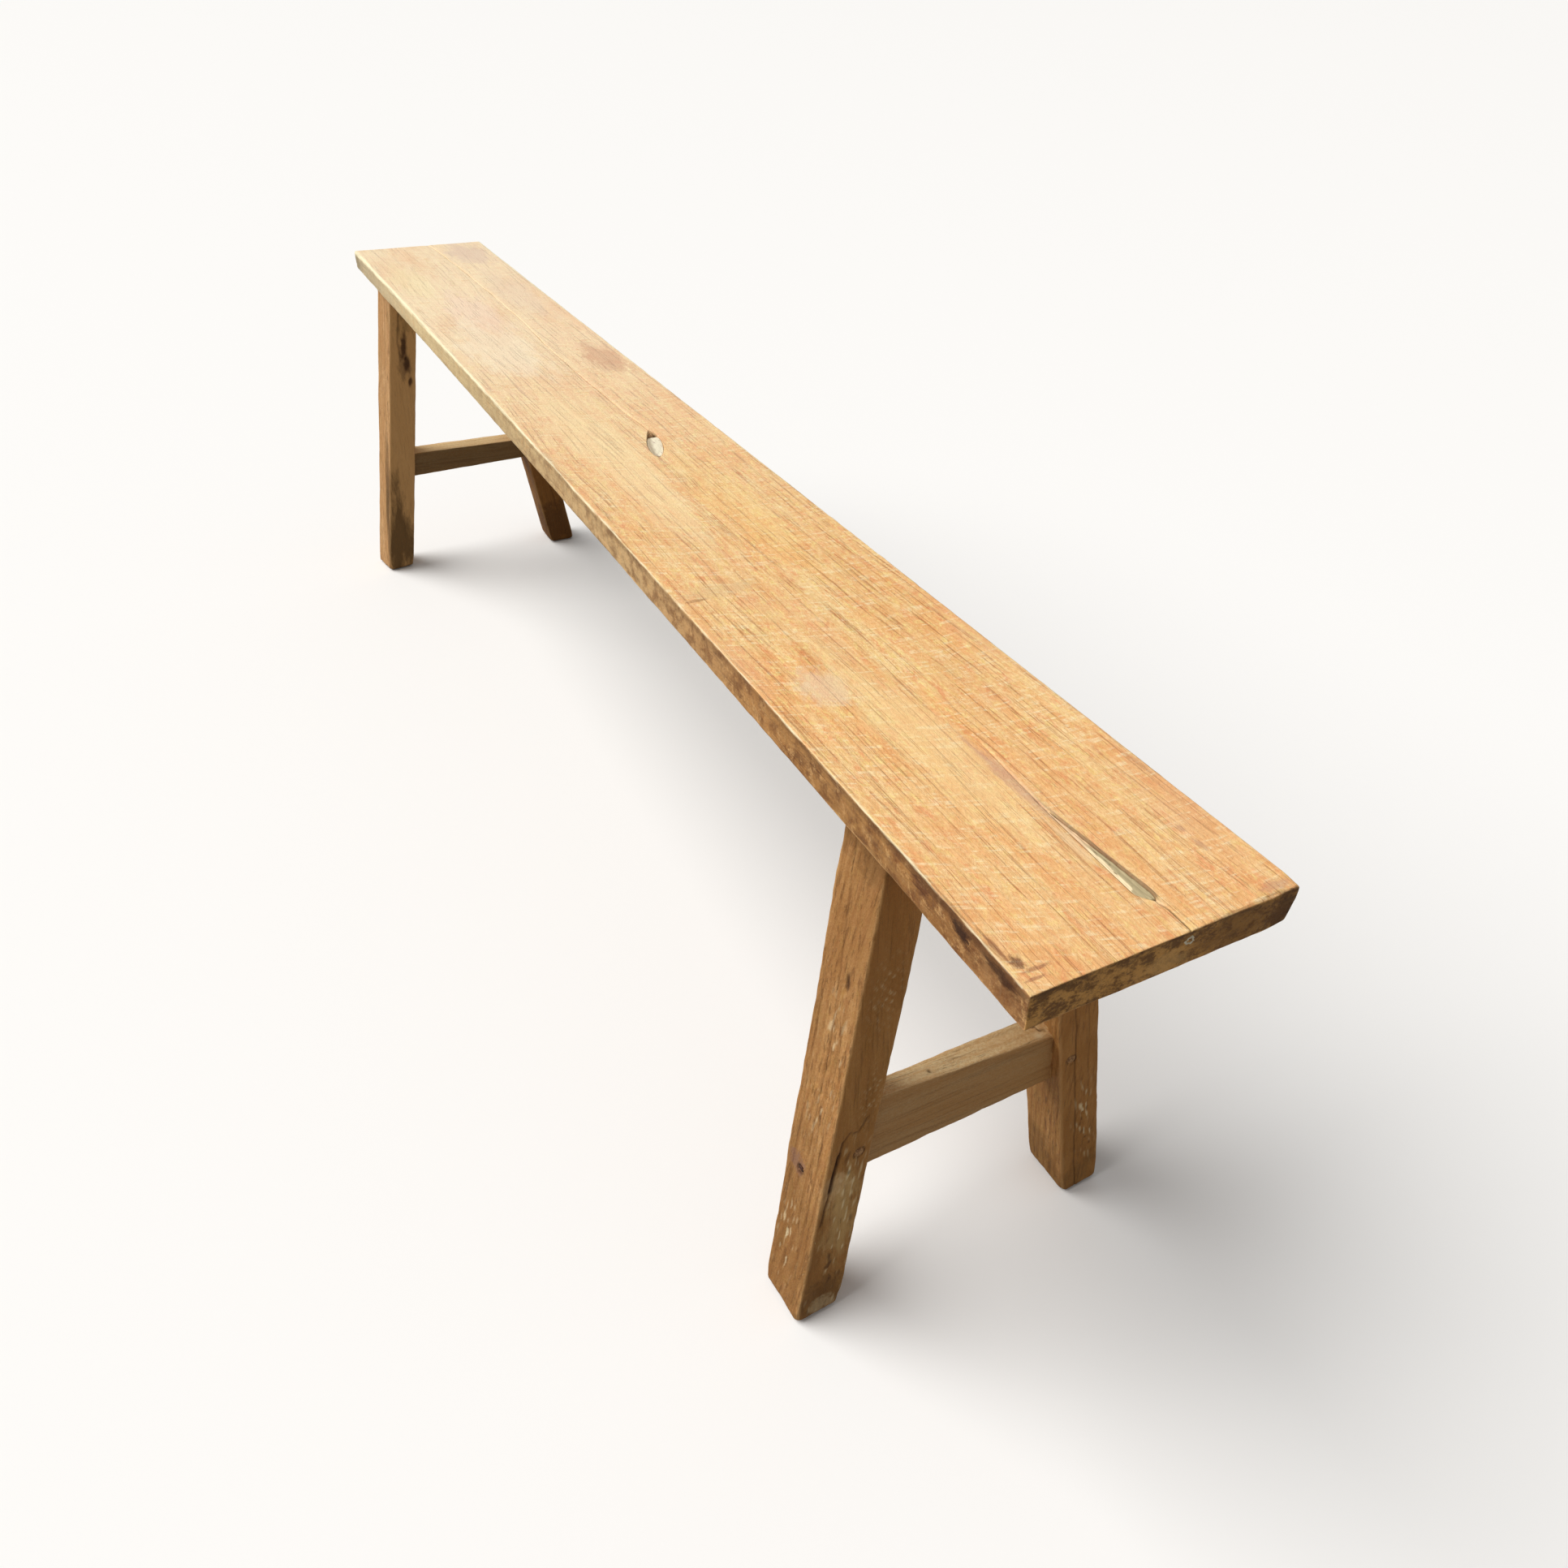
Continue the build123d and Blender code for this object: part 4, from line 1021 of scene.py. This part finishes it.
# ---------------------------------------------------------------- fillers, putty, pegs, nail
def build_filler(name, first, last, half_width, depth, bulge, heel, fade, material, node, seed):
    """A filler: a lattice as long as its pocket, as wide as the pocket's own outline a
    little drawn in, with a lumpy top below the plank's face.  heel turns it to its far
    colour and fade to the wood's."""
    rows = np.linspace(-1, 1, 15)
    stations = np.linspace(first, last, 90)
    index, quads = lattice_shell((len(rows), 3, len(stations)))
    across, x = rows[index[:, 0]], stations[index[:, 2]]
    width = np.maximum(half_width(x) - FILLER_CLEARANCE, FILLER_CLEARANCE)
    lumps = ripple(np.stack([x, across * 6, across * 0], 1), (9, 5, 5), seed)
    top = SEAT_TOP - FILLER_SINK - 0.35 * (1 + lumps) / 2 - bulge(across, x)
    bottom = SEAT_TOP - depth
    height = bottom + index[:, 1] / 2 * (top - bottom)
    placed = np.stack([x, seam_middle(x) + across * width, height], 1)
    marks = {"across": (across + 1) / 2 + 0.5 * heel(x), "fade": fade(across, x)}
    make_piece(name, placed, quads.tolist(), marks, material, node)


def ring_skin(rings, first, last):
    """Points and faces of a skin over rings carried along a line, closed by a pole at each
    end: quads between the rings and triangles round the poles."""
    count, sides = rings.shape[:2]
    points = np.concatenate([first[None], rings.reshape(-1, 3), last[None]])
    number = 1 + np.arange(count * sides).reshape(count, sides)
    following = np.roll(number, -1, axis=1)
    pole, far_pole = np.zeros(sides, int), np.full(sides, len(points) - 1)
    quads = np.stack([number[:-1], following[:-1], following[1:], number[1:]], -1)
    faces = quads.reshape(-1, 4).tolist()
    faces += np.stack([pole, following[0], number[0]], -1).tolist()
    faces += np.stack([far_pole, number[-1], following[-1]], -1).tolist()
    return points, faces


def build_putty(material):
    """Putty in the end grain: rings about its middle with a ragged outline, higher at the
    rim than in the middle, closed at both poles."""
    front, back, sides = 14, 5, 48
    share = np.concatenate([np.linspace(0, 1, front), np.linspace(0.98, 0, back)])
    angle = np.linspace(0, 2 * np.pi, sides, endpoint=False)[::-1]
    spread, turn = np.meshgrid(share, angle, indexing="ij")
    ragged = 1 - 0.11 * (1 + np.sin(3 * turn + 1)) - 0.09 * (1 + np.sin(7 * turn + 2))
    crown = 1.4 - 1.2 * smooth(0.25, 0.7, spread) + 0.3 * np.sin(7 * turn) * spread
    crown[front:] = PUTTY["depth"]
    crown = np.maximum(crown, PUTTY["sink"])
    y = PUTTY["off_centre"] + PUTTY["radius"] * spread * ragged * np.cos(turn)
    z = PUTTY["level"] + PUTTY["radius"] * spread * ragged * np.sin(turn) * 0.8
    rings = np.stack([SEAT_HALF_LENGTH - crown, y, z], -1)
    points, faces = ring_skin(rings[1:-1], rings[0, 0], rings[-1, 0])
    rim = np.concatenate([[0], np.repeat(share[1:-1], sides), [0]])
    make_piece("white_putty_lump", points, faces, {"across": rim}, material,
               "end_grain_putty")


def build_turned(name, start, axis, profile, material, node, seed):
    """A peg or a nail: circles carried along an axis, slightly out of round, closed by a
    point at both ends.  The profile is (distance along the axis, radius) pairs."""
    stations, radii = np.array(profile).T
    angle = np.linspace(0, 2 * np.pi, 32, endpoint=False)
    axis = axis / np.linalg.norm(axis)
    side = np.array([0, 0, 1]) - axis * axis[2]
    side /= np.linalg.norm(side)
    along, turn = np.meshgrid(stations, angle, indexing="ij")
    radius = radii[:, None] * (1 - 0.02 * (1 + np.sin(3 * turn + seed)))
    ring = np.cos(turn)[..., None] * side + np.sin(turn)[..., None] * np.cross(axis, side)
    rings = start + along[..., None] * axis + radius[..., None] * ring
    points, faces = ring_skin(rings, start + stations[0] * axis, start + stations[-1] * axis)
    make_piece(name, points, faces, {}, material, node)


def simple_material(name, base, second, stretch, metal=0.0):
    """Two colours mixed by noise, with a fine bump."""
    material, tree, shader, place = new_material(name)
    patches = noise(tree, place, (stretch, stretch, stretch), 4.0, 0.65)
    tint = mix(tree, ease(tree, patches, 0.4, 0.62), base, second)
    fine = noise(tree, place, (900, 900, 900), 3.0)
    finish_surface(tree, shader, tint, plus(tree, times(tree, fine, 0.3), 0.5), fine, 0.5, 0.0008)
    shader.inputs["Metallic"].default_value = metal
    return material


SMEARED_WOOD = colour(240, 204, 162)


def filler_material(name, near, far, dark, low, high):
    """Filler whose colour changes across it, with smears drawn out along the plank."""
    material, tree, shader, place = new_material(name)
    smear = noise(tree, place, (40, 420, 420), 4.0, 0.6)
    level = plus(tree, own_mark(tree, "across"), centred_smear(tree, smear, 0.5))
    tint = mix(tree, ease(tree, level, low, high), near, far)
    tint = mix(tree, ease(tree, noise(tree, place, (160, 420, 420), 3.0), 0.58, 0.7), tint, dark)
    faded = plus(tree, own_mark(tree, "fade"), centred_smear(tree, smear, 0.6))
    tint = mix(tree, ease(tree, faded, 0.25, 0.75), tint, SMEARED_WOOD)
    finish_surface(tree, shader, tint, plus(tree, times(tree, smear, 0.3), 0.5), smear, 0.6, 0.001)
    return material


# ---------------------------------------------------------------- the pieces
def knot_bulge(across, x):
    """How far the knot's filler lies lower: its left end is open."""
    return 1.4 * (1 - smooth(50, 58, x))


def knot_fade(across, x):
    """The knot's filler is smeared with wood along its back side."""
    return 0.5 * smooth(0.4, 1.0, across)


def split_bulge(across, x):
    """How far the split's filler lies lower: along its back side."""
    return 0.5 * smooth(0.0, 0.5, across)


def split_fade(across, x):
    """The split's filler is smeared with wood towards its tip and along its front side."""
    return 0.85 * (1 - smooth(775, 815, x)) + 0.2 * smooth(0.6, 1.0, -across)


def build_fillers():
    """The fillers of the knot and of the split, and the putty in the end grain."""
    knot = filler_material("knot_filler", colour(186, 170, 142), colour(242, 232, 204),
                           colour(196, 172, 156), 0.15, 0.5)
    split = filler_material("split_filler", colour(255, 232, 188), colour(190, 174, 134),
                            colour(140, 122, 84), 0.26, 0.40)
    putty = filler_material("white_putty", colour(70, 52, 34), colour(216, 208, 184),
                            colour(176, 160, 130), 0.3, 0.6)
    build_filler("grey_filler_knot", 50.0, 104.0, knot_half, KNOT["depth"], knot_bulge, np.zeros_like,
                 knot_fade, knot, "knot_filler", 91)
    build_filler("grey_filler_split", 749.0, 849.0, split_half, SPLIT["depth"], split_bulge,
                 lambda x: smooth(834, 842, x), split_fade, split, "split_filler", 92)
    build_putty(putty)


def build_pegs():
    """A peg in every leg: its outer end lies a little below the leg's end face."""
    wood_end = simple_material("peg_wood", colour(190, 146, 98), colour(130, 88, 50), 300)
    profile = [(-34.0, 4.2), (-33.6, 4.45), (-1.2, 4.45), (-0.5, 4.2), (-0.15, 3.2), (0.0, 0.6)]
    for number, (corner, leg) in enumerate(LEGS.items()):
        level = STRETCHERS[corner.split("_")[0]]["level"]
        outwards = leg["end"] * np.array([*turned_about(0, 0, 1, 0, leg["turn"]), 0])
        along = leg["end"] * (leg["size"][0] / 2 - PEG_SINK)
        across = leg["side"] * (PEG_SETBACK - leg["size"][1] / 2)
        face = np.array([*turned_about(*leg_middle(corner, level), along, across, leg["turn"]), level])
        build_turned("round_peg_" + corner, face, outwards, profile, wood_end,
                     "peg_" + corner, number)


def build_nail():
    """The old nail in the right front leg: a sunk head and a shank driven slightly upwards."""
    turn = LEGS["right_front"]["turn"]
    middle = leg_middle("right_front", NAIL_HEIGHT)
    half_width = LEGS["right_front"]["size"][1] / 2
    face = np.array([*turned_about(*middle, NAIL_ALONG, -half_width, turn), NAIL_HEIGHT])
    into_leg = np.array([*turned_about(0, 0, 0, 1, turn), math.tan(NAIL_RISE)])
    iron = simple_material("nail_iron", colour(58, 46, 44), colour(92, 58, 44), 400, metal=0.4)
    profile = [(0.8, 2.0), (0.9, 2.9), (1.3, 3.2), (2.0, 3.0), (2.3, 1.5), (50.0, 1.5), (56.0, 0.3)]
    build_turned("sunk_nail", face, into_leg, profile, iron, "stretcher_nail", 5)


build_seat(wood("seat_teak", PLANK_FINISH, (0, 0, 0), SEAT_SPOTS))
for number, corner in enumerate(LEGS):
    leg_wood = wood("leg_teak_" + corner, LEG_FINISHES[corner], UP_GRAIN, LEG_SPOTS[corner])
    build_leg(corner, leg_wood, 20 + 10 * number)
build_stretcher("right", wood("stretcher_teak_right", STRETCHER_FINISH, ACROSS_GRAIN), 71)
build_stretcher("left", wood("stretcher_teak_left", LEFT_STRETCHER_FINISH, ACROSS_GRAIN), 81)
build_fillers()
build_pegs()
build_nail()

# ---------------------------------------------------------------- floor, light, camera
FLOOR_SEEN = (0.93, 0.93, 0.93, 1)
FLOOR_BOUNCE = (0.34, 0.31, 0.27, 1)
FLOOR_HALF = 30.0
AMBIENT_TINT = (1.0, 0.99, 0.97, 1)
AMBIENT_STRENGTH = 0.3
BACKDROP_STRENGTH = 0.95
KEY = {"direction": (0.35, 0.58, -0.74), "spread": 55.0, "strength": 3.25, "tint": (1.0, 0.98, 0.95)}
CAMERA_PLACE = (1.2045, -0.4170, 0.9360)
CAMERA_YAW, CAMERA_PITCH, CAMERA_ROLL = 2.6266, 0.61766, 0.03961
CAMERA_SHIFT = (-0.01934, -0.01388)
SENSOR = 36.0
FOCAL_IMAGE_WIDTHS = 0.76447
scene = bpy.context.scene


def build_floor():
    """A pale floor that sends back a dimmer, warmer light than it shows."""
    mesh = bpy.data.meshes.new("floor")
    corners = [(-1, -1), (1, -1), (1, 1), (-1, 1)]
    mesh.from_pydata([(FLOOR_HALF * x, FLOOR_HALF * y, 0) for x, y in corners], [], [(0, 1, 2, 3)])
    material, tree, shader, _ = new_material("pale_floor")
    seen = add(tree, "LightPath").outputs["Is Camera Ray"]
    tree.links.new(mix(tree, seen, FLOOR_BOUNCE, FLOOR_SEEN), shader.inputs["Base Color"])
    shader.inputs["Roughness"].default_value = 0.9
    mesh.materials.append(material)
    floor = bpy.data.objects.new("floor", mesh)
    scene.collection.objects.link(floor)


def build_light():
    """A pale studio round the bench, and a sun as wide as a big soft box."""
    studio = bpy.data.worlds.new("studio")
    studio.use_nodes = True
    tree = studio.node_tree
    background = tree.nodes["Background"]
    background.inputs["Color"].default_value = AMBIENT_TINT
    seen = add(tree, "LightPath").outputs["Is Camera Ray"]
    ambient = ease(tree, seen, 0.0, 1.0, AMBIENT_STRENGTH, BACKDROP_STRENGTH)
    tree.links.new(ambient, background.inputs["Strength"])
    scene.world = studio
    data = bpy.data.lights.new("key", "SUN")
    data.angle = math.radians(KEY["spread"])
    data.energy = KEY["strength"]
    data.color = KEY["tint"]
    light = bpy.data.objects.new("key", data)
    light.rotation_euler = Vector(KEY["direction"]).to_track_quat("-Z", "Y").to_euler()
    scene.collection.objects.link(light)


def build_camera():
    """The camera stands to the right of the bench, looks along it and down, and rolls a
    little.  Its axes come from the yaw, the pitch and then the roll."""
    level = math.cos(CAMERA_PITCH)
    forward = Vector((level * math.cos(CAMERA_YAW), level * math.sin(CAMERA_YAW), -math.sin(CAMERA_PITCH)))
    level_right = forward.cross(Vector((0, 0, 1))).normalized()
    level_up = level_right.cross(forward)
    right = math.cos(CAMERA_ROLL) * level_right + math.sin(CAMERA_ROLL) * level_up
    up = -math.sin(CAMERA_ROLL) * level_right + math.cos(CAMERA_ROLL) * level_up
    data = bpy.data.cameras.new("camera")
    data.sensor_width = SENSOR
    data.lens = FOCAL_IMAGE_WIDTHS * SENSOR
    data.shift_x, data.shift_y = CAMERA_SHIFT
    camera = bpy.data.objects.new("camera", data)
    camera.matrix_world = Matrix((right, up, -forward)).transposed().to_4x4()
    camera.matrix_world.translation = CAMERA_PLACE
    scene.collection.objects.link(camera)
    scene.camera = camera


build_floor()
build_light()
build_camera()
scene.view_settings.view_transform = "Standard"
